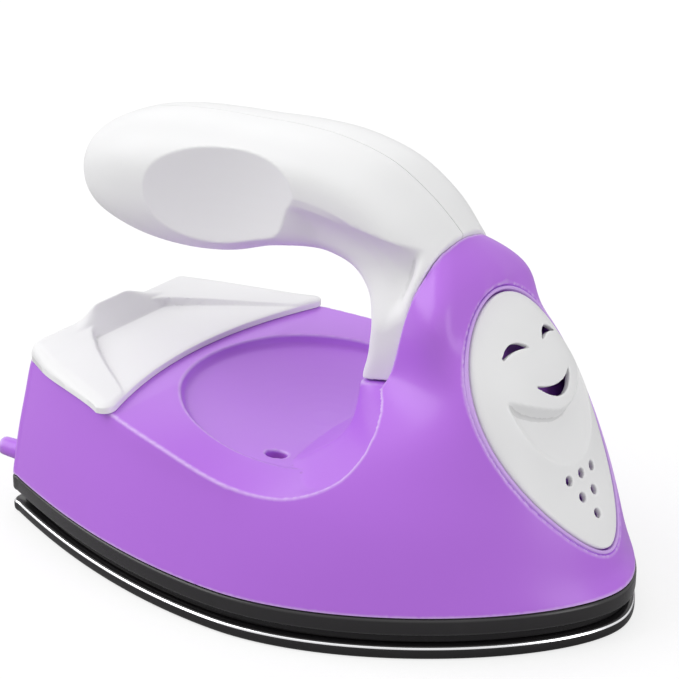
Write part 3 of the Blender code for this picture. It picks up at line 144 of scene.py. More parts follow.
# Handle
GRIP_WIDTH = 0.0284
THUMB_CURVE_RADIUS = 0.0440
THUMB_BARREL_RADIUS = 0.060
THUMB_DEPTH = 0.0040
THUMB_LEAN = math.radians(-4)
FLANK_DEPTH = 0.0036
FLANK_REACH = 0.0065
FLANK_RIM = (0.0008, 0.0034)
HANDLE_SCREW_GRIP = 0.0060
SCREW_HEAD_RADIUS = 0.0021

# Rear cover
COVER_EDGE = 0.0010
COVER_ROUND = 0.0013
COVER_CORNER = 0.0034
HOLLOW_STEP = 0.0005

# Worked-out levels
SKIRT_BOTTOM = SOLE_THICKNESS + GROOVE_HEIGHT
SKIRT_TOP = SKIRT_BOTTOM + SKIRT_HEIGHT
HOUSING_BOTTOM = SKIRT_TOP + FIT_GAP
RISE = IRON_HEIGHT - SKIRT_TOP

# Hull sections from the foot up, in parts: height above the skirt, nose x, nose fullness, side handle x
# and y, side x and y, rear handle x, corner handle x and y, corner x and y, rear x
HULL_SHARES = (
    (0.0, 58.9, 15.2, 27.5, 42.5, 0.0, 42.5, -23.0, -45.0, 33.9, -59.0, 27.6, -60.9),
    (8.2, 55.4, 16.2, 26.0, 40.3, 0.0, 40.4, -23.0, -45.0, 32.2, -58.5, 26.0, -60.4),
    (16.2, 52.5, 18.4, 23.0, 36.6, 0.0, 38.3, -23.0, -45.0, 30.4, -57.8, 24.2, -59.6),
    (23.2, 49.8, 21.5, 18.5, 29.4, 0.0, 36.6, -23.0, -45.0, 28.6, -57.0, 22.6, -58.7),
    (29.2, 46.8, 24.0, 24.0, 20.4, 9.0, 26.0, -8.0, -24.0, 27.0, -44.0, 21.0, -46.0),
    (33.2, 44.6, 23.2, 28.5, 19.2, 14.6, 13.8, 2.0, -8.0, 14.0, -20.0, 11.0, -22.0),
    (38.2, 41.3, 20.8, 31.0, 18.2, 16.0, 12.6, 8.0, 2.0, 9.0, -6.0, 6.0, -8.0),
    (44.2, 35.8, 18.4, 28.0, 18.8, 17.8, 12.3, 12.0, 4.0, 9.0, -2.0, 6.0, -4.0),
    (49.6, 31.9, 17.0, 28.4, 18.2, 19.4, 11.2, 15.0, 8.0, 8.0, 2.0, 5.0, 1.0),
    (53.6, 28.4, 10.8, 25.4, 12.0, 20.2, 8.9, 17.0, 11.0, 6.0, 6.0, 4.0, 5.0),
    (56.6, 24.6, 6.8, 22.6, 8.6, 20.8, 5.8, 18.5, 15.0, 3.0, 12.0, 2.0, 11.5),
    (58.6, 22.4, 3.2, 21.0, 4.2, 19.0, 3.0, 18.0, 16.0, 1.6, 14.0, 1.0, 13.6),
)
HULL_TOP_SHARE = 58.6
HEEL_CORNER_SHARE = 0.93

# Side profile of the hand opening, in parts of length and rise, from the rear deck forward and up the arch
DECK_SHARES = ((-76.0, 23.2), (-44.0, 23.0), (-28.5, 22.6))
SADDLE_SHARES = ((-28.5, 22.6), (-15.5, 21.1), (-3.0, 19.0), (7.0, 18.0), (13.5, 18.9), (18.6, 21.6),
                 (20.9, 25.3), (21.1, 28.7), (20.0, 31.3))
ARCH_FOOT_SHARES = (17.4, 33.3)
ARCH_TOP_SHARES = (23.5, 57.2)

# Pedestal under the leg, from its top down: depth, rear x, half width there, x and half width of the
# flanks where they leave through the hull's side
PEDESTAL_SHARES = (
    (0.0, 10.1, 12.1, 18.0, 13.4),
    (2.0, 10.0, 12.2, 20.6, 18.4),
    (5.0, 9.8, 12.7, 23.0, 24.4),
    (8.0, 9.2, 13.4, 23.6, 28.4),
    (11.0, 7.6, 15.0, 22.6, 33.0),
    (14.0, 4.2, 18.6, 19.0, 38.0),
    (16.5, -1.0, 24.0, 12.0, 41.0),
    (18.5, -7.0, 29.0, 6.0, 43.0),
)
PEDESTAL_CORNER_SHARE = 0.28

# Handle stations from the tail: crest x and height, underside x and height, half width as a share of the
# grip's, squareness over and under the middle. The leg's crests lie past the arch, which trims them
HANDLE_SHARES = (
    (-58.6, 58.6, -58.2, 55.4, 0.18, 2.1, 2.1),
    (-57.3, 62.4, -56.2, 51.4, 0.47, 2.1, 2.1),
    (-53.3, 66.2, -52.0, 48.6, 0.74, 2.2, 2.2),
    (-46.0, 69.4, -45.4, 46.9, 0.92, 2.3, 2.3),
    (-38.0, 71.0, -38.4, 46.0, 0.99, 2.4, 2.4),
    (-29.0, 71.8, -30.4, 45.9, 1.00, 2.4, 2.4),
    (-20.0, 72.0, -21.8, 47.2, 0.985, 2.6, 2.5),
    (-10.6, 72.24, -12.6, 50.2, 0.94, 2.9, 2.8),
    (-1.0, 71.6, -4.6, 51.5, 0.90, 3.2, 3.2),
    (9.0, 69.1, 4.2, 50.4, 0.875, 3.2, 4.0),
    (17.0, 64.4, 9.4, 47.0, 0.865, 3.0, 5.0),
    (22.6, 59.6, 11.4, 42.6, 0.865, 2.5, 6.0),
    (26.4, 55.0, 11.3, 38.6, 0.875, 2.4, 7.0),
    (29.4, 48.0, 10.8, 35.6, 0.875, 3.4, 8.0),
    (27.4, 40.0, 10.2, 33.6, 0.86, 5.5, 9.0),
    (24.4, 34.7, 9.9, 32.1, 0.845, 8.0, 9.0),
)
THUMB_PLACE_SHARES = (-18.1, 60.6)
CREASE_SHARES = ((-30.0, 62.8), (-12.0, 62.8), (-3.8, 62.3), (8.5, 60.4), (21.9, 57.8), (23.3, 57.0),
                 (32.0, 52.0))
CREASE_START_SHARES = (-9.5, -0.5)
CREASE_FADE_SHARES = (42.0, 53.0)
HANDLE_SCREW_SHARES = ((-52.0, 57.6), (4.2, 58.2))

# Face plate: ends of its centre line, and shares of its length or half width that shape it
FACE_TOP_SHARES = (31.15, 49.1)
FACE_FOOT_SHARES = (55.35, 7.4)
FACE_TAPER_SHARES = (0.23, -0.10)
FACE_CROWN_SHARES = ((0.0, 0.0), (0.10, 0.48), (0.22, 0.80), (0.34, 1.0), (0.44, 0.94), (0.56, 0.60),
                     (0.68, 0.24), (0.78, 0.10), (0.88, 0.11), (1.0, 0.0))
CHIN_SHARE = 0.465
CHIN_HALF_SHARE = 0.75
SCOOP_TIP_SHARE = 0.67
LIP_SECTION_SHARES = ((0.10, -1.2), (0.10, -0.30), (0.22, -0.10), (0.45, 0.0), (0.68, 0.0), (0.88, -0.10),
                      (1.0, -0.30), (1.0, -1.2))
EYE_PLACE_SHARES = (0.224, 0.355)
SMILE_PLACE_SHARE = 0.336
VENT_PLACE_SHARE = 0.7115

# Rear cover, in parts of length, width and rise
COVER_REAR_SHARE = -58.2
COVER_FRONT_SHARES = (-35.3, -28.6)
COVER_HALF_SHARES = (23.6, 34.2)
COVER_TOP_SHARES = (26.8, 24.3)
COVER_BEVEL_SHARES = (3.4, 2.0)
HOLLOW_FLOOR_SHARES = (24.9, 24.1)
HOLLOW_END_SHARE = 0.26
HOLLOW_HALF_SHARES = (10.7, 27.0)
RIDGE_TOP_SHARE = 29.6
RIDGE_HALF_SHARE = 2.4
RIDGE_FLANK_SHARE = 7.0

INDICATOR_SHARES = (-2.0, -20.0)
PEG_SHARES = (22.0, 2.4)
INLET_HEIGHT_SHARE = 9.6

# Fineness of the surfaces
HULL_STEPS = (56, 30, 6)
HULL_LEVELS = 90
RIM_STEPS = 200
RIM_REACHES = (0.022, 0.009)
RIM_FADE_UP = 0.009
RIM_FADE_DOWN = 0.007
FAIR_ROUNDS = 6000
HEEL_COLUMNS = 8
FAIR_PULL = 0.24
FAIR_CLEARANCE = 0.0006
FAIR_SPAN_SHARES = (2.5, 57.8)
SADDLE_STEPS = 16
PEDESTAL_LEVELS = 36
PEDESTAL_CORNER_STEPS = 12
DISH_SIDES = 180
DISH_RING_SHARES = (0.12, 0.25, 0.37, 0.49, 0.6, 0.7, 0.79, 0.86)
DISH_FILLET_RINGS = 8
DISH_FILLET_START, DISH_FILLET_STEP = 1.4, 0.2
DISH_FLANGE_STEPS = 18
DISH_FLANGE_CROWDING = 1.4
SEAT_SIDES, SEAT_LAYERS = 144, 12
ROD_SIDES = 48
LIP_SIDES = 160
HANDLE_STEPS, HANDLE_SIDES = 10, 128
THUMB_STEPS, THUMB_SIDES = 24, 240
SLOT_STEPS = 24
FACE_ROWS, FACE_COLUMNS = 150, 90
FACE_END_SHARE = 0.012
COVER_ROWS, COVER_COLUMNS = 90, 150

# Skin of the moulded pieces: voxel, rounds of smoothing and the share of triangles kept
BODY_SKIN = (0.00030, 4, 0.5)
GRIP_SKIN = (0.00027, 2, 0.3)
FACE_SKIN = (0.00020, 2, 0.35)

# Painted highlight paling convex edges and painted shade darkening inner corners: the bend that counts as
# full, its limit, the share of it where the tint starts, rounds of evening out over the neighbours, and how
# strong each tint is
EDGE_BEND = 560.0
EDGE_BEND_LIMIT = 4000.0
EDGE_FROM = 0.35
EDGE_ROUNDS = 4
CORNER_SHADE = 0.35
CORNER_TONE = 0.5
PAINTED_HIGHLIGHT_SHARE = 0.45

# Stage; each lamp has a name, a place, a width and height, and watts
WORLD_LEVEL = 0.42
WORLD_SHINE = 0.80
FLOOR_REACH = 6.0
FLOOR_GREY = (0.5, 0.5, 0.5)
FLOOR_GLOW = 1.80
FLOOR_GLOW_SHARE = 0.40
LAMP_TARGET = (0.0, 0.0, 0.035)
LAMPS = (
    ("left_panel", (-0.95, -0.62, 0.80), (1.2, 1.0), 11.5),
    ("right_panel", (1.05, -0.10, 0.40), (0.5, 0.9), 4.2),
    ("overhead", (-0.10, -0.10, 1.30), (2.4, 2.0), 6.5),
    ("back_panel", (-0.55, 0.95, 0.75), (1.2, 0.8), 2.5),
)

# Camera, from the vanishing lines and outlines of the view
CAMERA_PLACE = (0.21728, -0.31549, 0.19726)
CAMERA_AZIMUTH = math.radians(34.83267)
CAMERA_ELEVATION = math.radians(22.19285)
CAMERA_ROLL = math.radians(0.18321784)
CAMERA_LENS = 120.08
CAMERA_SENSOR = 36.0


def along(part):
    return part * SOLE_LENGTH / LENGTH_PARTS


def across(part):
    return part * SOLE_WIDTH / WIDTH_PARTS


def rise(part):
    return part * RISE / RISE_PARTS


def up(part):
    return SKIRT_TOP + rise(part)


def side_view(shares):
    """Points seen from the side, from their parts of length and rise."""
    return [(along(x), up(z)) for x, z in shares]


# Curves
def bezier(a, b, c, d, count):
    """Points on a cubic from a to d."""
    a, b, c, d = (np.array(point, float) for point in (a, b, c, d))
    points = []
    for i in range(count + 1):
        t = i / count
        points.append(a * (1 - t) ** 3 + 3 * b * t * (1 - t) ** 2 + 3 * c * t * t * (1 - t) + d * t ** 3)
    return points


def smooth_line(points, steps):
    """A smooth line through the points, with some steps between neighbours."""
    points = [np.array(point, float) for point in points]
    padded = [2 * points[0] - points[1]] + points + [2 * points[-1] - points[-2]]
    line = []
    for a, b, c, d in zip(padded, padded[1:], padded[2:], padded[3:]):
        for i in range(steps):
            t = i / steps
            line.append(0.5 * (2 * b + (c - a) * t + (2 * a - 5 * b + 4 * c - d) * t * t
                               + (3 * b - a - 3 * c + d) * t ** 3))
    line.append(points[-1])
    return line


def monotone(rows, where):
    """Each column of the rows, read at a place on the first column without overshoot."""
    table = np.array(rows, float)
    places = table[:, 0]
    where = min(max(where, places[0]), places[-1])
    slopes = np.diff(table, axis=0) / np.diff(places)[:, None]
    tangents = np.empty_like(table)
    tangents[0], tangents[-1] = slopes[0], slopes[-1]
    before, after = slopes[:-1], slopes[1:]
    same = before * after > 0
    total = np.where(same, before + after, 1)
    tangents[1:-1] = np.where(same, 2 * before * after / total, 0)
    i = min(int(np.searchsorted(places, where, side="right")) - 1, len(places) - 2)
    span = places[i + 1] - places[i]
    t = (where - places[i]) / span
    return ((1 + 2 * t) * (1 - t) ** 2 * table[i] + t * (1 - t) ** 2 * span * tangents[i]
            + t * t * (3 - 2 * t) * table[i + 1] + t * t * (t - 1) * span * tangents[i + 1])


def height_on(line, where):
    """Height of a broken line at a place along it."""
    return float(np.interp(where, *zip(*line)))


def clamp(value):
    return min(max(value, 0.0), 1.0)


def smoothstep(low, high, value):
    t = clamp((value - low) / (high - low))
    return t * t * (3 - 2 * t)


def blend(pair, share):
    return pair[0] + (pair[1] - pair[0]) * share


def turns(sides):
    """Cosine and sine at even steps round a circle."""
    return [(math.cos(2 * math.pi * i / sides), math.sin(2 * math.pi * i / sides)) for i in range(sides)]


# Mesh builders
def finish_mesh(name, bm):
    mesh = bpy.data.meshes.new(name)
    bmesh.ops.recalc_face_normals(bm, faces=bm.faces)
    bm.to_mesh(mesh)
    bm.free()
    return mesh


def loft(name, rings, closed=False):
    """A skin between rings of equal length, capped at both ends unless it runs round to its start."""
    bm = bmesh.new()
    rows = [[bm.verts.new(point) for point in ring] for ring in rings]
    count = len(rings[0])
    for low, high in zip(rows, rows[1:] + rows[:1] if closed else rows[1:]):
        for i in range(count):
            j = (i + 1) % count
            bm.faces.new((low[i], low[j], high[j], high[i]))
    if not closed:
        bmesh.ops.triangulate(bm, faces=bm.faces)
        bm.faces.new(list(reversed(rows[0])))
        bm.faces.new(rows[-1])
    return finish_mesh(name, bm)


def box_mesh(name, low, high):
    bm = bmesh.new()
    bmesh.ops.create_cube(bm, size=1.0)
    low, high = Vector(low), Vector(high)
    bmesh.ops.scale(bm, vec=high - low, verts=bm.verts)
    bmesh.ops.translate(bm, vec=(low + high) / 2, verts=bm.verts)
    return finish_mesh(name, bm)


def rod_mesh(name, start, end, radius, end_radius=None):
    start, end = Vector(start), Vector(end)
    direction = end - start
    bm = bmesh.new()
    bmesh.ops.create_cone(bm, cap_ends=True, segments=ROD_SIDES, radius1=radius,
                          radius2=end_radius or radius, depth=direction.length)
    turn = direction.to_track_quat("Z", "Y").to_matrix().to_4x4()
    bmesh.ops.transform(bm, matrix=Matrix.Translation((start + end) / 2) @ turn, verts=bm.verts)
    return finish_mesh(name, bm)


def extrude_outline(name, outline, offset):
    bm = bmesh.new()
    face = bm.faces.new([bm.verts.new(point) for point in outline])
    result = bmesh.ops.extrude_face_region(bm, geom=[face])
    moved = [item for item in result["geom"] if isinstance(item, bmesh.types.BMVert)]
    bmesh.ops.translate(bm, vec=offset, verts=moved)
    return finish_mesh(name, bm)


def turned(name, profile, sides, matrix):
    """A solid of revolution about Z from (radius, height) points that start and end on the axis."""
    bm = bmesh.new()
    verts = [bm.verts.new((r, 0, z)) for r, z in profile]
    edges = [bm.edges.new(pair) for pair in zip(verts, verts[1:])]
    bmesh.ops.spin(bm, geom=verts + edges, cent=(0, 0, 0), axis=(0, 0, 1), angle=2 * math.pi, steps=sides,
                   use_merge=True)
    bmesh.ops.remove_doubles(bm, verts=bm.verts, dist=1e-7)
    bmesh.ops.transform(bm, matrix=matrix, verts=bm.verts)
    return finish_mesh(name, bm)


def grid_solid(name, upper, lower):
    """A closed solid between two grids of points with the same rows and columns."""
    bm = bmesh.new()
    tops = [[bm.verts.new(point) for point in row] for row in upper]
    feet = [[bm.verts.new(point) for point in row] for row in lower]
    rows, columns = len(tops), len(tops[0])
    for i in range(rows - 1):
        for j in range(columns - 1):
            bm.faces.new((tops[i][j], tops[i + 1][j], tops[i + 1][j + 1], tops[i][j + 1]))
            bm.faces.new((feet[i][j], feet[i][j + 1], feet[i + 1][j + 1], feet[i + 1][j]))
    border = [(0, j) for j in range(columns)] + [(i, columns - 1) for i in range(1, rows)]
    border += [(rows - 1, j) for j in range(columns - 2, -1, -1)] + [(i, 0) for i in range(rows - 2, 0, -1)]
    for (i, j), (k, m) in zip(border, border[1:] + border[:1]):
        bm.faces.new((tops[i][j], tops[k][m], feet[k][m], feet[i][j]))
    return finish_mesh(name, bm)


def read_back(obj):
    """The mesh of an object with its modifiers applied; the object goes."""
    graph = bpy.context.evaluated_depsgraph_get()
    mesh = bpy.data.meshes.new_from_object(obj.evaluated_get(graph))
    bpy.data.objects.remove(obj, do_unlink=True)
    return mesh


def new_object(name, data):
    obj = bpy.data.objects.new(name, data)
    bpy.context.scene.collection.objects.link(obj)
    return obj


def carve(mesh, *tools, operation="DIFFERENCE"):
    """Cuts the tools out of a mesh one after another, or joins them to it."""
    for tool in tools:
        obj, tool = new_object("stock", mesh), new_object("tool", tool)
        modifier = obj.modifiers.new("carve", "BOOLEAN")
        modifier.operation = operation
        modifier.object = tool
        modifier.solver = "EXACT"
        mesh = read_back(obj)
        bpy.data.objects.remove(tool, do_unlink=True)
    return mesh


def soften(mesh, voxel, rounds, kept):
    """An even skin of small quads with every edge rounded as a mould leaves it, then thinned."""
    obj = new_object("stock", mesh)
    remesh = obj.modifiers.new("skin", "REMESH")
    remesh.mode = "VOXEL"
    remesh.voxel_size = voxel
    smooth = obj.modifiers.new("round", "SMOOTH")
    smooth.factor = 0.5
    smooth.iterations = rounds
    thin = obj.modifiers.new("thin", "DECIMATE")
    thin.ratio = kept
    return read_back(obj)


def cut_flat(mesh, place, away):
    """A closed mesh without what lies on one side of a plane, closed there."""
    bm = bmesh.new()
    bm.from_mesh(mesh)
    bmesh.ops.bisect_plane(bm, geom=bm.verts[:] + bm.edges[:] + bm.faces[:], plane_co=place, plane_no=away,
                           clear_outer=True)
    rim = [edge for edge in bm.edges if edge.is_boundary]
    bmesh.ops.triangle_fill(bm, use_beauty=True, edges=rim)
    return finish_mesh("cut", bm)


# The face plate's own frame: its top, then down its centre line and out of it
FACE_TOP, FACE_FOOT = (np.array((x, 0, z)) for x, z in side_view((FACE_TOP_SHARES, FACE_FOOT_SHARES)))
FACE_LENGTH = np.linalg.norm(FACE_FOOT - FACE_TOP)
FACE_DOWN = (FACE_FOOT - FACE_TOP) / FACE_LENGTH
FACE_OUT = np.array((-FACE_DOWN[2], 0, FACE_DOWN[0]))

# The straight edge of the arch that the handle stands against, seen from the side
ARCH_FOOT, ARCH_TOP = (np.array(point) for point in side_view((ARCH_FOOT_SHARES, ARCH_TOP_SHARES)))
ARCH_RUN = (ARCH_TOP - ARCH_FOOT) / np.linalg.norm(ARCH_TOP - ARCH_FOOT)


def face_point(s, t, h):
    """The point s down the plate's centre line, t across it and h out of it."""
    return tuple(FACE_TOP + s * FACE_DOWN + h * FACE_OUT + np.array((0, t, 0)))


def face_bend(t):
    return -FACE_BEND * (2 * t / FACE_WIDTH) ** 2


def face_taper(c):
    """Width of the plate against an oval's, from its top, where c is 1, to its foot, where it is -1."""
    first, second = FACE_TAPER_SHARES
    return 1 + first * c + second * c * c


def face_half_width(s):
    c = 1 - 2 * clamp(s / FACE_LENGTH)
    return FACE_WIDTH / 2 * math.sqrt(max(1 - c * c, 0.0)) * face_taper(c)


def face_outline(c, s, grow):
    """A point on the plate's outline, widened all round, from a cosine and a sine."""
    return FACE_LENGTH / 2 - (FACE_LENGTH / 2 + grow) * c, (FACE_WIDTH / 2 * face_taper(c) + grow) * s


# Hull
def drawn_in(part, inset):
    """A half width drawn in by an inset, but never to less than half."""
    return max(across(part) - inset, across(part) / 2)


def hull_half(part, inset=0.0):
    """The left half of the hull's outline at a height part, from the nose to the heel."""
    _, nose, full, hx, hy, sx, sy, rx, cx, cy, kx, ky, rear = monotone(HULL_SHARES, part)
    tip = along(nose) - inset
    side_pull = (along(hx), drawn_in(hy, inset))
    side = (along(sx), drawn_in(sy, inset))
    rear_pull = (along(rx), side[1])
    corner_pull = (along(cx), drawn_in(cy, inset))
    corner = (along(kx) + inset, drawn_in(ky, inset))
    heel = (along(rear) + inset, corner[1] * HEEL_CORNER_SHARE)
    heel_pulls = ((corner[0] + heel[0]) / 2, corner[1]), (heel[0], (corner[1] + heel[1]) / 2)
    half = bezier((tip, 0), (tip, drawn_in(full, inset / 2)), side_pull, side, HULL_STEPS[0])[:-1]
    half += bezier(side, rear_pull, corner_pull, corner, HULL_STEPS[1])[:-1]
    return half + bezier(corner, *heel_pulls, heel, HULL_STEPS[2])


def both_sides(left):
    return left + [(x, -y, z) for x, y, z in reversed(left[1:])]


def foot_ring(inset, z):
    """The hull's outline at its foot, drawn in and set at a height."""
    return both_sides([(x, y, z) for x, y in hull_half(0.0, inset)])


def rim_line():
    """The left rim of the plate's seat from its top down, as rows of height, x and y."""
    rows = []
    for turn in turns(2 * RIM_STEPS)[:RIM_STEPS + 1]:
        s, t = face_outline(*turn, FACE_LIP_WIDTH)
        x, y, z = face_point(s, t, face_bend(t))
        rows.append((z, x, y))
    return np.array(rows)


def nearest_on(line, lengths, place):
    """The nearest point on a line to a place, and its distance along the line."""
    starts, runs = line[:-1], np.diff(line, axis=0)
    shares = np.clip(((place - starts) * runs).sum(1) / np.maximum((runs ** 2).sum(1), SLIVER ** 2), 0, 1)
    points = starts + runs * shares[:, None]
    i = int(np.argmin(((points - place) ** 2).sum(1)))
    return points[i], lengths[i] + shares[i] * (lengths[i + 1] - lengths[i])


def meet_rim(line, z, rim):
    """Shifts an outline of the hull a little so that it passes through the seat's rim."""
    line = np.array(line)
    lengths = np.concatenate(((0,), np.cumsum(np.linalg.norm(np.diff(line, axis=0), axis=1))))
    top, foot = rim[0], rim[-1]
    level = min(max(z, foot[0]), top[0])
    fade = 1 - smoothstep(0, RIM_FADE_UP if z > level else RIM_FADE_DOWN, abs(z - level))
    down = rim[::-1]
    place = np.array([np.interp(level, down[:, 0], down[:, column]) for column in (1, 2)])
    if fade < 1:
        place, start = line[0] + (place - line[0]) * (1, 0), 0.0
        shift = place - line[0]
    else:
        point, start = nearest_on(line, lengths, place)
        shift = place - point
    reach = blend(RIM_REACHES, smoothstep(foot[0], top[0], z))
    behind = np.array([1 - smoothstep(0, reach, length - start) for length in lengths])
    ahead = np.minimum(lengths / max(start, SLIVER), 1) if start > 0 else np.zeros(len(line))
    return line + fade * behind[:, None] * shift * np.stack((np.ones(len(line)), ahead), 1)


def opening_front(part):
    """Where the hand opening ends towards the nose, at a height part."""
    edge = [(z, x) for x, z in SADDLE_SHARES[4:-1]] + [ARCH_FOOT_SHARES[::-1], ARCH_TOP_SHARES[::-1]]
    return along(height_on(edge, part))


def is_free(x, y, z, part, rim):
    """Whether a point of the hull may be faired: off the plate's rim and off the edge of the opening."""
    if not FAIR_SPAN_SHARES[0] < part < FAIR_SPAN_SHARES[1]:
        return False
    ahead = x - opening_front(part)
    if ahead < -FAIR_CLEARANCE and z < saddle_height(x) + FAIR_CLEARANCE:
        return False
    off_rim = np.linalg.norm(rim[:, (1, 2, 0)] - (x, y, z), axis=1).min()
    beside_pedestal = SADDLE_SHARES[4][1] + 1 < part < ARCH_FOOT_SHARES[1]
    return (beside_pedestal or abs(ahead) > FAIR_CLEARANCE / 2) and off_rim > FAIR_CLEARANCE


def bend_of(grid):
    """How far each point lies from the middle of its neighbours; the other half mirrors the first column."""
    ahead = np.concatenate((grid[:, 1:2] * (1, -1), grid[:, :-1]), axis=1)
    behind = np.concatenate((grid[:, 1:], grid[:, -1:]), axis=1)
    over = np.concatenate((grid[1:], grid[-1:]))
    under = np.concatenate((grid[:1], grid[:-1]))
    return (ahead + behind + over + under) / 4 - grid


def hull_rings():
    """All outlines of the hull from the foot up, faired off the plate's rim and the opening's edge."""
    rim = rim_line()
    parts = [HULL_TOP_SHARE * i / HULL_LEVELS for i in range(HULL_LEVELS + 1)]
    grid = np.array([meet_rim(hull_half(part), up(part), rim) for part in parts])
    free = np.array([[[is_free(x, y, up(part), part, rim)] for x, y in line]
                     for part, line in zip(parts, grid)])
    free[:, -HEEL_COLUMNS:] = False
    for _ in range(FAIR_ROUNDS):
        grid = grid - FAIR_PULL * free * bend_of(bend_of(grid))
    return [both_sides([(x, y, up(part)) for x, y in line]) for part, line in zip(parts, grid)]


def opening_mesh():
    """Side view of the hand opening, swept across the whole width."""
    path = side_view(DECK_SHARES[:-1]) + smooth_line(side_view(SADDLE_SHARES), SADDLE_STEPS)
    path += [ARCH_FOOT, ARCH_TOP + (ARCH_TOP - ARCH_FOOT) / 2]
    path += [(path[-1][0], IRON_HEIGHT * 2), (path[0][0], IRON_HEIGHT * 2)]
    half = across(WIDTH_PARTS)
    return extrude_outline("hand_opening", [(x, -half, z) for x, z in path], (0, 2 * half, 0))


def saddle_height(x):
    """Height of the deck and the saddle at a distance along the iron."""
    return monotone(side_view(DECK_SHARES[:-1] + SADDLE_SHARES[:-2]), x)[1]


def dish_height(x, y):
    """Height of the dish, with a fillet, a wall and a rolled rim that runs out into the saddle."""
    centre_x, centre_z = along(DISH_CENTRE_SHARES[0]), up(DISH_CENTRE_SHARES[1])
    r = math.hypot(x - centre_x, y)
    floor = centre_z - (x - centre_x) * math.tan(DISH_TILT)
    floor += (x - centre_x) ** 2 / (2 * DISH_BOWL_LENGTHWISE) + y * y / (2 * DISH_BOWL_ACROSS)
    bend = (r - DISH_RADIUS) / DISH_FILLET + 1
    if bend > 0:
        turn = min(bend, DISH_FILLET_TURN)
        floor += DISH_FILLET * (1 - math.sqrt(1 - turn * turn) + (bend - turn) * DISH_WALL_SLOPE)
    deck = saddle_height(x)
    share = clamp(0.5 + 0.5 * (floor - deck) / DISH_ROLL)
    return blend((floor, deck), share) - DISH_ROLL * share * (1 - share)


def dish_mesh():
    """A round tool whose underside is the dish, wider towards the heel for the rolled rim."""
    radii = [DISH_RADIUS * share for share in DISH_RING_SHARES]
    radii += [DISH_RADIUS - DISH_FILLET * (DISH_FILLET_START - DISH_FILLET_STEP * i)
              for i in range(DISH_FILLET_RINGS)]
    flange = [DISH_FLANGE * (i / DISH_FLANGE_STEPS) ** DISH_FLANGE_CROWDING
              for i in range(1, DISH_FLANGE_STEPS + 1)]
    centre_x, top = along(DISH_CENTRE_SHARES[0]), up(DISH_CENTRE_SHARES[1]) + DISH_TOOL_RISE
    rings = []
    for reach in radii + [DISH_RADIUS + extra for extra in flange]:
        ring = []
        for c, s in turns(DISH_SIDES):
            wide = max(smoothstep(*DISH_RUN_OUT, -c), DISH_LEAST_FLANGE_SHARE)
            r = reach if reach <= DISH_RADIUS else DISH_RADIUS + (reach - DISH_RADIUS) * wide
            x, y = centre_x + r * c, r * s
            ring.append((x, y, dish_height(x, y) + SLIVER))
        rings.append(ring)
    rings.append([(x, y, max(top, z + SLIVER)) for x, y, z in rings[-1]])
    return loft("finger_dish", rings)


def pedestal_ring(depth):
    """Rear edge with rounded corners, then flanks that flare out to the hull's side."""
    _, rear, half, flank_x, flank_y = monotone(PEDESTAL_SHARES, depth)
    top_x, top_z, foot_x, foot_z = HANDLE_SHARES[-1][:4]
    slope = (rise(top_z) - rise(foot_z)) / (along(top_x) - along(foot_x))
    level = up(ARCH_FOOT_SHARES[1]) - FIT_GAP - rise(depth)
    tilt = slope * (1 - depth / PEDESTAL_SHARES[-1][0])
    low_x, side = along(rear), across(half)
    flank = (along(flank_x), across(flank_y))
    corner = side * PEDESTAL_CORNER_SHARE
    reach = math.hypot(flank[0] - low_x, flank[1] - side)
    end = (low_x + (flank[0] - low_x) * corner / reach, side + (flank[1] - side) * corner / reach)
    rear_round = bezier((low_x, side - corner), (low_x, side), (low_x, side), end, PEDESTAL_CORNER_STEPS)
    left = [tuple(point) for point in rear_round] + [flank, (along(LENGTH_PARTS / 2), flank[1])]
    ring = [(x, -y) for x, y in left] + [(x, y) for x, y in reversed(left)]
    return [(x, y, level + tilt * (x - along(ARCH_FOOT_SHARES[0]))) for x, y in ring]


def face_tool(name, grow, depth):
    """A plug whose end follows the plate's bend at a depth under it."""
    centre = FACE_LENGTH / 2
    rings = []
    for k in range(1, SEAT_LAYERS + 2):
        ring = []
        share = min(k / SEAT_LAYERS, 1.0)
        for turn in turns(SEAT_SIDES):
            edge_s, edge_t = face_outline(*turn, grow)
            s, t = centre + (edge_s - centre) * share, edge_t * share
            ring.append(face_point(s, t, OVERRUN if k > SEAT_LAYERS else face_bend(t) - depth))
        rings.append(ring)
    return loft(name, rings)


# Shader maths
def plug(tree, node, sockets):
    """Sets or links the sockets of a node."""
    for name, value in sockets.items():
        if isinstance(value, Value):
            tree.links.new(value.socket, node.inputs[name])
        else:
            node.inputs[name].default_value = value


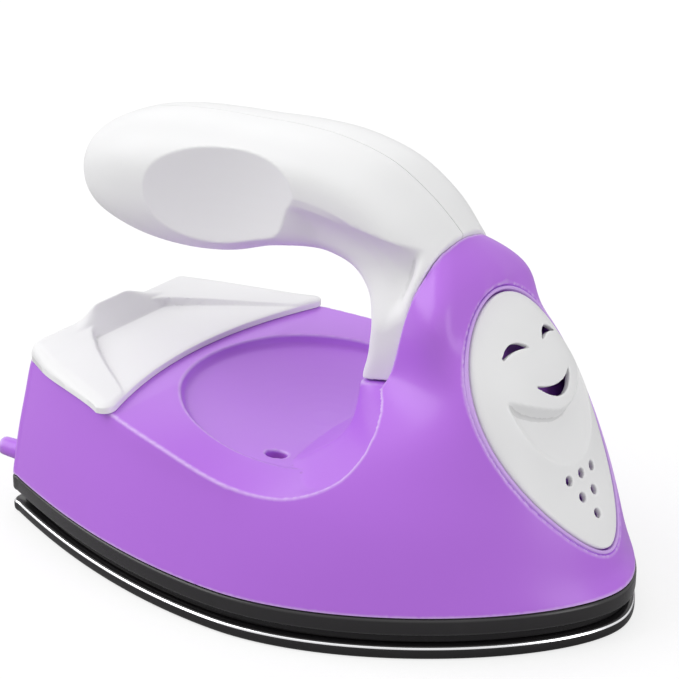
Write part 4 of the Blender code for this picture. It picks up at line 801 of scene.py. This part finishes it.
class Value:
    """One output socket; arithmetic on it adds Math nodes to the same material."""

    def __init__(self, tree, socket=None):
        self.tree = tree
        self.socket = socket

    def add(self, kind, output=0, settings=None, sockets=None):
        """Adds any node: first its settings, then the values or links of its sockets."""
        node = self.tree.nodes.new(kind)
        for name, value in (settings or {}).items():
            setattr(node, name, value)
        plug(self.tree, node, sockets or {})
        return Value(self.tree, node.outputs[output])

    def math(self, operation, first, second):
        return self.add("ShaderNodeMath", settings={"operation": operation}, sockets={0: first, 1: second})

    def __add__(self, other):
        return self.math("ADD", self, other)

    __radd__ = __add__

    def __sub__(self, other):
        return self.math("SUBTRACT", self, other)

    def __rsub__(self, other):
        return self.math("SUBTRACT", other, self)

    def __mul__(self, other):
        return self.math("MULTIPLY", self, other)

    __rmul__ = __mul__

    def above(self, limit):
        return self.math("GREATER_THAN", self, limit)

    def below(self, limit):
        return self.math("LESS_THAN", self, limit)

    def held(self, low, high):
        return self.math("MINIMUM", self.math("MAXIMUM", self, low), high)

    def noise(self, size, detail=2.0, roughness=0.5):
        """Noise on the object's own coordinates, with blotches of about the given size."""
        sockets = {"Vector": self, "Scale": 1 / size, "Detail": detail, "Roughness": roughness}
        return self.add("ShaderNodeTexNoise", sockets=sockets)

    def bump(self, strength, distance):
        """A normal that this value raises."""
        sockets = {"Height": self, "Strength": strength, "Distance": distance}
        return self.add("ShaderNodeBump", sockets=sockets)

    def mix(self, low, high):
        """A colour between two, by this value."""
        return self.add("ShaderNodeMix", output=2, settings={"data_type": "RGBA"},
                        sockets={0: self, 6: low, 7: high})


def start_material(name):
    """A new material and its place on the object's own coordinates."""
    material = bpy.data.materials.new(name)
    material.use_nodes = True
    return material, Value(material.node_tree).add("ShaderNodeTexCoord", output=3)


def finish_material(material, sockets):
    plug(material.node_tree, material.node_tree.nodes["Principled BSDF"], sockets)
    return material


def tone(colour, factor):
    return (*(min(channel * factor, 1.0) for channel in colour), 1.0)


def moulded_plastic(name, colour, roughness, grain_depth, coat=0.0, spread=0.04, sheen=0.5, rim=0.0):
    """Moulded plastic with spark grain, slow flow shading, handling marks, painted edge highlights and
    painted corner shade.
    """
    material, place = start_material(name)
    bend = place.add("ShaderNodeAttribute", output=2, settings={"attribute_name": "edge_bend"})
    # Painted highlight: convex edges are paled by their bend, as strongly as rim says
    painted_edge_highlight = (bend - EDGE_FROM).held(0.0, 1.0) * rim
    # Painted shade: inner corners, where the surface bends inwards, are darkened
    painted_corner_shade = (bend * -1.0 - EDGE_FROM).held(0.0, CORNER_SHADE)
    grain, flow, smudge = place.noise(GRAIN_SIZE), place.noise(FLOW_SIZE, 1.0), place.noise(SMUDGE_SIZE)
    # The paler colour that the painted edge highlight mixes in
    highlight_colour = (*(channel + (1 - channel) * PAINTED_HIGHLIGHT_SHARE for channel in colour), 1.0)
    body = flow.mix(tone(colour, 1 - spread), tone(colour, 1 + spread))
    # Flow tone, then the painted edge highlight, then the painted corner shade
    colour_value = painted_corner_shade.mix(painted_edge_highlight.mix(body, highlight_colour), tone(colour, CORNER_TONE))
    gloss = roughness + (flow - 0.5) * 0.05 + (smudge - 0.5) * 0.06 + (grain - 0.5) * 0.03
    return finish_material(material, {
        "Base Color": colour_value, "Roughness": gloss, "Normal": grain.bump(0.10, grain_depth), "IOR": 1.47,
        "Coat Weight": coat, "Coat Roughness": 0.24, "Specular IOR Level": sheen})


def bare_metal(name, colour, roughness):
    """Plated steel or brass with fine turned lines."""
    material, place = start_material(name)
    lines = place.noise(0.00012, 2.0, 0.7)
    cloud = place.noise(0.004)
    return finish_material(material, {
        "Base Color": cloud.mix(tone(colour, 0.9), tone(colour, 1.08)), "Metallic": 1.0,
        "Roughness": roughness + (lines - 0.5) * 0.15, "Normal": lines.bump(0.3, 0.00002)})


def sole_coating(name, colour):
    """Dark non-stick coating with fine sparkle and orange peel, over an edge left bright near its top."""
    material, place = start_material(name)
    fleck = place.noise(0.00022, 2.0, 0.6)
    peel = place.noise(0.0016, 3.0)
    wear = place.noise(0.018, 3.0)
    light = fleck.above(0.66)
    height = place.add("ShaderNodeSeparateXYZ", output=2, sockets={"Vector": place})
    low, high = POLISHED_BAND
    bare = height.above(low) * height.below(high)
    coat = (light * 0.5 + wear * 0.3).mix(tone(colour, 0.85), tone(colour, 2.2))
    return finish_material(material, {
        "Base Color": bare.mix(coat, tone(POLISHED, 1.0)), "Normal": (peel + fleck * 0.3).bump(0.3, 0.00004),
        "Roughness": 0.26 + wear * 0.12 - bare * 0.14, "Metallic": bare, "Specular IOR Level": 0.5})


def lamp_plastic(name, colour):
    material, place = start_material(name)
    cloud = place.noise(0.001)
    return finish_material(material, {"Base Color": cloud.mix(tone(colour, 0.9), tone(colour, 1.1)),
                                      "Roughness": 0.12 + cloud * 0.05, "Coat Weight": 0.5})


def woven_sleeve(name, colour):
    """Braided glass sleeve on the leads."""
    material, place = start_material(name)
    braid = place.add("ShaderNodeTexWave", output=1, settings={"bands_direction": "DIAGONAL"},
                      sockets={"Vector": place, "Scale": 900.0, "Distortion": 2.0})
    return finish_material(material, {"Base Color": braid.mix(tone(colour, 0.75), tone(colour, 1.05)),
                                      "Roughness": 0.7 + braid * 0.1, "Normal": braid.bump(0.6, 0.0001)})


GRAIN_SIZE, FLOW_SIZE, SMUDGE_SIZE = 0.0003, 0.034, 0.009
PURPLE = (0.475, 0.160, 0.775)
WHITE = (0.84, 0.84, 0.845)
BLACK = (0.010, 0.009, 0.010)
COATING = (0.008, 0.007, 0.008)
POLISHED = (0.93, 0.93, 0.95)
POLISHED_BAND = (0.00203, 0.00234)

# rim is how strong each plastic's painted highlight on its convex edges is
MATERIALS = {
    "purple_body": moulded_plastic("purple_body", PURPLE, 0.38, 0.00002, coat=0.22, spread=0.025, sheen=0.35,
                                   rim=0.6),
    "white_plastic": moulded_plastic("white_plastic", WHITE, 0.40, 0.00002, spread=0.012, sheen=0.3, rim=0.4),
    "black_skirt": moulded_plastic("black_skirt", BLACK, 0.20, 0.00002, spread=0.15, sheen=0.35, rim=0.12),
    "coated_sole": sole_coating("coated_sole", COATING),
    "steel": bare_metal("steel", (0.62, 0.62, 0.64), 0.30),
    "brass": bare_metal("brass", (0.78, 0.60, 0.30), 0.28),
    "ceramic": moulded_plastic("ceramic", (0.75, 0.72, 0.66), 0.62, 0.00005),
    "mica": moulded_plastic("mica", (0.55, 0.42, 0.25), 0.45, 0.00005, spread=0.12),
    "board": moulded_plastic("board", (0.05, 0.28, 0.10), 0.42, 0.00003, spread=0.08),
    "lamp_lens": lamp_plastic("lamp_lens", (0.80, 0.22, 0.20)),
    "lead_sleeve": woven_sleeve("lead_sleeve", (0.70, 0.68, 0.62)),
}


def mark_edges(mesh):
    """Stores on each vertex how sharply the surface bends outwards there, evened out over its neighbours."""
    count = len(mesh.vertices)
    places, normals = np.empty(count * 3), np.empty(count * 3)
    mesh.vertices.foreach_get("co", places)
    mesh.vertex_normals.foreach_get("vector", normals)
    pairs = np.empty(len(mesh.edges) * 2, dtype=int)
    mesh.edges.foreach_get("vertices", pairs)
    places, normals, (a, b) = places.reshape(-1, 3), normals.reshape(-1, 3), pairs.reshape(-1, 2).T
    run, turn = places[b] - places[a], normals[b] - normals[a]
    bend = (run * turn).sum(1) / np.maximum((run ** 2).sum(1), SLIVER ** 2)
    bend = np.clip(bend, -EDGE_BEND_LIMIT, EDGE_BEND_LIMIT) / EDGE_BEND
    degree = np.maximum(np.bincount(a, minlength=count) + np.bincount(b, minlength=count), 1)
    value = (np.bincount(a, bend, count) + np.bincount(b, bend, count)) / degree
    for _ in range(EDGE_ROUNDS):
        value = value / 2 + (np.bincount(a, value[b], count) + np.bincount(b, value[a], count)) / degree / 2
    mesh.attributes.new("edge_bend", "FLOAT", "POINT").data.foreach_set("value", value)


def add_piece(name, mesh, slot, *nodes, sharp=None):
    """A finished piece that stands for CAD nodes and rides on the iron's one body."""
    mark_edges(mesh)
    mesh.materials.clear()
    mesh.materials.append(MATERIALS[slot])
    mesh.shade_smooth()
    if sharp:
        mesh.set_sharp_from_angle(angle=math.radians(sharp))
    piece = new_object(name, mesh)
    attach(piece, BODY)
    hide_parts(*nodes)


# Soleplate and skirt
def edge_rounds(radius, bottom, top, steps=6):
    """Insets and levels of a plate's rounded edge, from its lower face to its upper one."""
    angles = [math.pi / 2 * i / steps for i in range(steps + 1)]
    low = [(radius * (1 - math.sin(a)), bottom + radius * (1 - math.cos(a))) for a in angles]
    high = [(radius * (1 - math.cos(a)), top - radius * (1 - math.sin(a))) for a in angles]
    return low + high


def build_sole():
    levels = edge_rounds(SOLE_EDGE_ROUND, 0.0, SOLE_THICKNESS)
    mesh = loft("sole", [foot_ring(inset, z) for inset, z in levels])
    add_piece("sole", mesh, "coated_sole", "soleplate", sharp=30)


def build_skirt():
    groove = [(GROOVE_DEPTH, SOLE_THICKNESS + FIT_GAP), (GROOVE_DEPTH, SKIRT_BOTTOM)]
    levels = groove + edge_rounds(SKIRT_EDGE_ROUND, SKIRT_BOTTOM, SKIRT_TOP)
    mesh = loft("skirt", [foot_ring(inset, z) for inset, z in levels])
    window = loft("skirt_window", [foot_ring(SKIRT_FLANGE, z) for z in (-OVERRUN, OVERRUN)])
    inner = GROOVE_DEPTH + GROOVE_WALL
    under = loft("skirt_under", [foot_ring(inner, z) for z in (-OVERRUN, SKIRT_BOTTOM)])
    add_piece("skirt", carve(mesh, window, under), "black_skirt", "heat_skirt", sharp=30)


# Housing
def lip_bead():
    """The fine rounded bead of the body around the face plate."""
    rings = []
    for turn in turns(LIP_SIDES):
        ring = []
        for share, height in LIP_SECTION_SHARES:
            s, t = face_outline(*turn, FIT_GAP + (FACE_LIP_WIDTH - FIT_GAP) * share)
            ring.append(face_point(s, t, face_bend(t) + height * LIP_DEPTH))
        rings.append(ring)
    return loft("lip_bead", rings, closed=True)


def joined(*meshes):
    bm = bmesh.new()
    for mesh in meshes:
        bm.from_mesh(mesh)
    return finish_mesh("joined", bm)


def build_body():
    hull = loft("body", [foot_ring(0.0, HOUSING_BOTTOM - TRIM)] + hull_rings()[1:])
    depths = [PEDESTAL_SHARES[-1][0] * (1 - i / PEDESTAL_LEVELS) for i in range(PEDESTAL_LEVELS + 1)]
    pedestal = loft("pedestal", [pedestal_ring(depth) for depth in depths])
    opening = carve(carve(opening_mesh(), dish_mesh(), operation="UNION"), pedestal)
    wall_x = along(HULL_SHARES[0][-1])
    pegs = []
    for side in (1, -1):
        y, z = side * across(PEG_SHARES[0]), up(PEG_SHARES[1])
        pegs.append(rod_mesh("peg", (wall_x + HOUSING_WALL, y, z), (wall_x - PEG_REACH, y, z), PEG_RADIUS,
                             PEG_RADIUS - PEG_ROUND / 2))
    lip = face_tool("face_lip", FACE_LIP_WIDTH + LIP_GROOVE, LIP_DEPTH)
    seat = face_tool("face_seat", FIT_GAP, PLATE_WALL + FIT_GAP)
    x, y = along(INDICATOR_SHARES[0]), across(INDICATOR_SHARES[1])
    lens_foot = up(DISH_CENTRE_SHARES[1]) - HOUSING_WALL / 2 - LENS_LENGTH
    lamp_hole = rod_mesh("lamp_hole", (x, y, lens_foot), (x, y, lens_foot + OVERRUN), INDICATOR_HOLE_RADIUS)
    z, half = up(INLET_HEIGHT_SHARE), INLET_WIDTH / 2 + FIT_GAP
    inlet = box_mesh("inlet", (wall_x - OVERRUN / 2, -half, z - INLET_HEIGHT / 2 - FIT_GAP),
                     (wall_x + INLET_DEPTH + FIT_GAP, half, z + INLET_HEIGHT / 2 + FIT_GAP))
    whole = carve(carve(hull, opening), *pegs, operation="UNION")
    whole = soften(carve(whole, lip, seat, lamp_hole, inlet), *BODY_SKIN)
    standing = cut_flat(whole, (0, 0, HOUSING_BOTTOM), (0, 0, -1))
    add_piece("body", joined(standing, lip_bead()), "purple_body", "housing", sharp=60)


# Handle
def flank_inset(x, z):
    """How far the side of the grip draws in under the crease that runs from the thumb hollow to the arch."""
    crease = height_on(side_view(CREASE_SHARES), x)
    depth = clamp((crease - z) / FLANK_REACH)
    start = smoothstep(*(along(part) for part in CREASE_START_SHARES), x)
    leg = smoothstep(*(up(part) for part in CREASE_FADE_SHARES), z)
    behind = (z - ARCH_FOOT[1]) * ARCH_RUN[0] - (x - ARCH_FOOT[0]) * ARCH_RUN[1]
    return FLANK_DEPTH * depth * (2 - depth) * start * leg * smoothstep(*FLANK_RIM, behind)


def handle_rings():
    lines = [np.array((along(a), up(b), along(c), up(d), *rest)) for a, b, c, d, *rest in HANDLE_SHARES]
    rings = []
    for top_x, top_z, foot_x, foot_z, wide, crest, under in smooth_line(lines, HANDLE_STEPS):
        top, foot = np.array((top_x, top_z)), np.array((foot_x, foot_z))
        centre, arm = (top + foot) / 2, (top - foot) / 2
        half = wide * GRIP_WIDTH / 2
        ring = []
        for c, s in turns(HANDLE_SIDES):
            square = crest if c > 0 else under
            p = math.copysign(abs(c) ** (2 / square), c)
            q = math.copysign(abs(s) ** (2 / square), s)
            x, z = centre[0] + p * arm[0], centre[1] + p * arm[1]
            y = -q * half
            ring.append((x, y * (1 - flank_inset(x, z) / half), z))
        rings.append(ring)
    return rings


def arch_slab():
    """A slab in front of the arch's edge, where the handle's leg ends."""
    out = np.array((ARCH_RUN[1], -ARCH_RUN[0]))
    low, high = ARCH_FOOT - ARCH_RUN * OVERRUN * 2, ARCH_TOP + ARCH_RUN * OVERRUN
    near, far = out * -SEAM_GAP, out * (OVERRUN - SEAM_GAP)
    half = across(WIDTH_PARTS)
    corners = [(x, -half, z) for x, z in (low + near, high + near, high + far, low + far)]
    return extrude_outline("arch_slab", corners, (0, 2 * half, 0))


def thumb_tool(side):
    """A fat upright barrel that hollows an oval into the grip's side."""
    x, z = along(THUMB_PLACE_SHARES[0]), up(THUMB_PLACE_SHARES[1])
    y = side * (GRIP_WIDTH / 2 - THUMB_DEPTH + THUMB_CURVE_RADIUS)
    profile = [(0.0, GRIP_WIDTH)]
    for i in range(THUMB_STEPS + 1):
        height = GRIP_WIDTH * (1 - 2 * i / THUMB_STEPS)
        profile.append((THUMB_CURVE_RADIUS - height ** 2 / (2 * THUMB_BARREL_RADIUS), height))
    profile.append((0.0, -GRIP_WIDTH))
    place = Matrix.Translation((x, y, z)) @ Matrix.Rotation(THUMB_LEAN, 4, "Y")
    return turned("thumb", profile, THUMB_SIDES, place)


def build_grip():
    tools = [arch_slab(), thumb_tool(1), thumb_tool(-1)]
    for x, z in HANDLE_SCREW_SHARES:
        start, end = (along(x), HANDLE_SCREW_GRIP, up(z)), (along(x), GRIP_WIDTH, up(z))
        tools.append(rod_mesh("sink", start, end, SCREW_HEAD_RADIUS + FIT_GAP))
    whole = soften(carve(loft("grip", handle_rings()), *tools), *GRIP_SKIN)
    for name, side, node in (("grip_right", -1, "handle_right_shell"), ("grip_left", 1, "handle_left_shell")):
        half = cut_flat(whole, (0, side * SEAM_GAP, 0), (0, -side, 0))
        add_piece(name, half, "white_plastic", node, sharp=40)


# Face plate
def scoop_depth(s, t):
    """Depth of the hollow under the chin."""
    start, tip = CHIN_SHARE * FACE_LENGTH - CHIN_BOW, SCOOP_TIP_SHARE * FACE_LENGTH
    if not start < s < tip:
        return 0.0
    q = (s - start) / (tip - start)
    reach = CHIN_HALF_SHARE * FACE_WIDTH / 2
    blunt, narrow = SCOOP_END_POWERS
    side = min(abs(t) / (reach * (1 - q ** blunt) ** narrow), 1.0)
    drop = CHIN_BOW * min(abs(t) / reach, 1.0) ** CHIN_BOW_POWER
    edge = smoothstep(0, SCOOP_EDGE, s - CHIN_SHARE * FACE_LENGTH + drop)
    return SCOOP_DEPTH * edge * (1 - q ** SCOOP_FALL_POWER) * (1 - side ** SCOOP_SIDE_POWER)


def face_height(s, t):
    """Height of the front surface over the plate's chord plane."""
    half = face_half_width(s)
    side = min(abs(t) / half, 1.0) if half > 0 else 1.0
    crown = FACE_CROWN * monotone(FACE_CROWN_SHARES, s / FACE_LENGTH)[1]
    inward = min(half * (1 - side) / PLATE_RIM_ROUND, 1.0)
    rim = PLATE_RIM_DROP * (1 - math.sqrt(1 - (1 - inward) ** 2))
    return face_bend(t) + crown * (1 - side ** FACE_SIDE_POWER) - scoop_depth(s, t) - rim


def crescent_tool(s, t, length, bow, thickness):
    """A curved slot tool, arched towards the plate's top where the bow is positive."""
    inner = bow - math.copysign(thickness, bow)
    there = [(bow, i) for i in range(SLOT_STEPS + 1)]
    back = [(inner, i) for i in range(SLOT_STEPS - 1, 0, -1)]
    points = []
    for height, i in there + back:
        q = 2 * i / SLOT_STEPS - 1
        points.append(face_point(s - height * (1 - q * q), t + q * length / 2, -OVERRUN / 4))
    return extrude_outline("slot", points, tuple(FACE_OUT * OVERRUN / 2))


def build_face():
    upper, lower = [], []
    for i in range(FACE_ROWS + 1):
        turn = FACE_END_SHARE + (1 - 2 * FACE_END_SHARE) * i / FACE_ROWS
        s = FACE_LENGTH * (1 - math.cos(math.pi * turn)) / 2
        half = face_half_width(s)
        places = [half * math.sin(math.pi / 2 * (2 * j / FACE_COLUMNS - 1)) for j in range(FACE_COLUMNS + 1)]
        upper.append([face_point(s, t, face_height(s, t)) for t in places])
        lower.append([face_point(s, t, face_height(s, t) - PLATE_WALL) for t in places])
    tools = []
    for side in (1, -1):
        s, t = EYE_PLACE_SHARES[0] * FACE_LENGTH, side * EYE_PLACE_SHARES[1] * FACE_WIDTH / 2
        tools.append(crescent_tool(s, t, EYE_LENGTH, EYE_RISE, EYE_THICKNESS))
    s = SMILE_PLACE_SHARE * FACE_LENGTH
    tools.append(crescent_tool(s, 0, SMILE_LENGTH, -SMILE_RISE, SMILE_THICKNESS))
    for row, count in enumerate(VENTS_IN_ROWS):
        for i in range(count):
            t = (i - (count - 1) / 2) * VENT_PITCH
            s = VENT_PLACE_SHARE * FACE_LENGTH + row * VENT_ROW_PITCH
            low, high = face_point(s, t, -OVERRUN / 4), face_point(s, t, OVERRUN / 4)
            tools.append(rod_mesh("vent", low, high, VENT_RADIUS))
    mesh = soften(carve(grid_solid("face", upper, lower), *tools), *FACE_SKIN)
    add_piece("face", mesh, "white_plastic", "face_plate")


# Rear cover
def crease_place(share):
    """Distance from the middle to the fan-shaped hollow's side, at a row of the cover."""
    if share < HOLLOW_END_SHARE:
        return across(blend((RIDGE_HALF_SHARE, HOLLOW_HALF_SHARES[0]), share / HOLLOW_END_SHARE))
    return across(blend(HOLLOW_HALF_SHARES, (share - HOLLOW_END_SHARE) / (1 - HOLLOW_END_SHARE)))


def cover_top(share, y):
    """Height of the cover at a row and a distance from the middle."""
    half = across(blend(COVER_HALF_SHARES, share))
    bevel = across(blend(COVER_BEVEL_SHARES, share))
    top = up(blend(COVER_TOP_SHARES, share))
    floor = up(blend(HOLLOW_FLOOR_SHARES, share))
    face = top
    if share < HOLLOW_END_SHARE:
        face = up(blend((RIDGE_TOP_SHARE, HOLLOW_FLOOR_SHARES[0]), share / HOLLOW_END_SHARE))
        floor = face
    crease = min(crease_place(share), half - bevel - HOLLOW_STEP * 2)
    flank = clamp(1 - (y - crease) / across(RIDGE_FLANK_SHARE))
    level = top + max(face - top, 0.0) * flank * flank * (3 - 2 * flank)
    slope = rounded((half - y) / bevel)
    level -= (1 - slope) * (level - up(DECK_SHARES[1][1]) - COVER_EDGE)
    return blend((floor, level), smoothstep(crease, crease + HOLLOW_STEP, y))


def rounded(share):
    """A quarter circle's rise from an edge inwards."""
    return math.sqrt(1 - (1 - clamp(share)) ** 2)


def build_cover():
    front_middle, front_side = (along(part) for part in COVER_FRONT_SHARES)
    rear_x = along(COVER_REAR_SHARE)
    span = front_middle - rear_x
    deck = side_view(DECK_SHARES)
    upper, lower = [], []
    for i in range(COVER_ROWS + 1):
        share = 0.5 - 0.5 * math.cos(math.pi * i / COVER_ROWS)
        half = across(blend(COVER_HALF_SHARES, share))
        top_row, low_row = [], []
        for j in range(COVER_COLUMNS + 1):
            side = half * math.sin(math.pi * (j / COVER_COLUMNS - 0.5))
            y = abs(side)
            arc = (front_side - front_middle) * (y / half) ** 2 * smoothstep(HOLLOW_END_SHARE, 1, share)
            corner = COVER_CORNER * (1 - rounded((half - y) / COVER_CORNER))
            x = rear_x + span * share + arc
            x += blend((corner / 2, -corner), share)
            foot = height_on(deck, x) + FIT_GAP / 3
            edge = rounded(min(share, 1 - share) * span / COVER_ROUND)
            low_top = foot + COVER_EDGE
            top_row.append((x, side, blend((low_top, max(cover_top(share, y), low_top)), edge)))
            low_row.append((x, side, foot))
        upper.append(top_row)
        lower.append(low_row)
    add_piece("cover", grid_solid("cover", upper, lower), "white_plastic", "rear_cover", sharp=50)


# Inner pieces keep their solids and get their finishes
def finish_inner_pieces():
    slots = {row["node"]: row["material_slot"] for row in frame["record"]["subparts"]}
    for name, obj in frame["nodes"].items():
        obj.data.materials.clear()
        obj.data.materials.append(MATERIALS[slots[name]])


# Stage
def build_floor():
    bm = bmesh.new()
    bmesh.ops.create_grid(bm, x_segments=1, y_segments=1, size=FLOOR_REACH)
    floor = new_object("floor", finish_mesh("floor", bm))
    material, place = start_material("floor_paper")
    fibre = place.noise(0.002)
    finish_material(material, {"Base Color": fibre.mix(tone(FLOOR_GREY, 0.96), tone(FLOOR_GREY, 1.04)),
                               "Roughness": 0.9, "Specular IOR Level": 0.0})
    tree = material.node_tree
    seen = place.add("ShaderNodeLightPath", output=0)
    glow = place.add("ShaderNodeEmission", sockets={"Strength": FLOOR_GLOW})
    paper = Value(tree, tree.nodes["Principled BSDF"].outputs[0])
    mixed = place.add("ShaderNodeMixShader", sockets={0: seen * FLOOR_GLOW_SHARE, 1: paper, 2: glow})
    plug(tree, tree.nodes["Material Output"], {"Surface": mixed})
    floor.data.materials.append(material)


def build_world():
    world = bpy.data.worlds.new("studio")
    bpy.context.scene.world = world
    world.use_nodes = True
    tree = world.node_tree
    seen = Value(tree).add("ShaderNodeLightPath", output=0)
    shine = Value(tree).add("ShaderNodeLightPath", output=3)
    strength = seen * (1 - WORLD_LEVEL) + shine * (WORLD_SHINE - WORLD_LEVEL) + WORLD_LEVEL
    plug(tree, tree.nodes["Background"], {"Color": (1, 1, 1, 1), "Strength": strength})


def add_lamps():
    for name, place, size, watts in LAMPS:
        light = bpy.data.lights.new(name, "AREA")
        light.shape = "RECTANGLE"
        light.size, light.size_y = size
        light.energy = watts
        lamp = new_object(name, light)
        lamp.location = place
        lamp.rotation_mode = "QUATERNION"
        lamp.rotation_quaternion = (Vector(LAMP_TARGET) - Vector(place)).to_track_quat("-Z", "Y")


def add_camera():
    a, e = CAMERA_AZIMUTH, CAMERA_ELEVATION
    back = Vector((math.sin(a) * math.cos(e), -math.cos(a) * math.cos(e), math.sin(e)))
    level = Vector((math.cos(a), math.sin(a), 0))
    upright = back.cross(level)
    right = math.cos(CAMERA_ROLL) * level + math.sin(CAMERA_ROLL) * upright
    high = math.cos(CAMERA_ROLL) * upright - math.sin(CAMERA_ROLL) * level
    camera = bpy.data.cameras.new("camera")
    camera.lens = CAMERA_LENS
    camera.sensor_width = CAMERA_SENSOR
    holder = new_object("camera", camera)
    holder.matrix_world = Matrix.Translation(CAMERA_PLACE) @ Matrix((right, high, back)).transposed().to_4x4()
    bpy.context.scene.camera = holder


add_camera()
finish_inner_pieces()
build_sole()
build_skirt()
build_body()
build_grip()
build_face()
build_cover()
build_floor()
build_world()
add_lamps()
bpy.context.scene.view_settings.view_transform = "Standard"
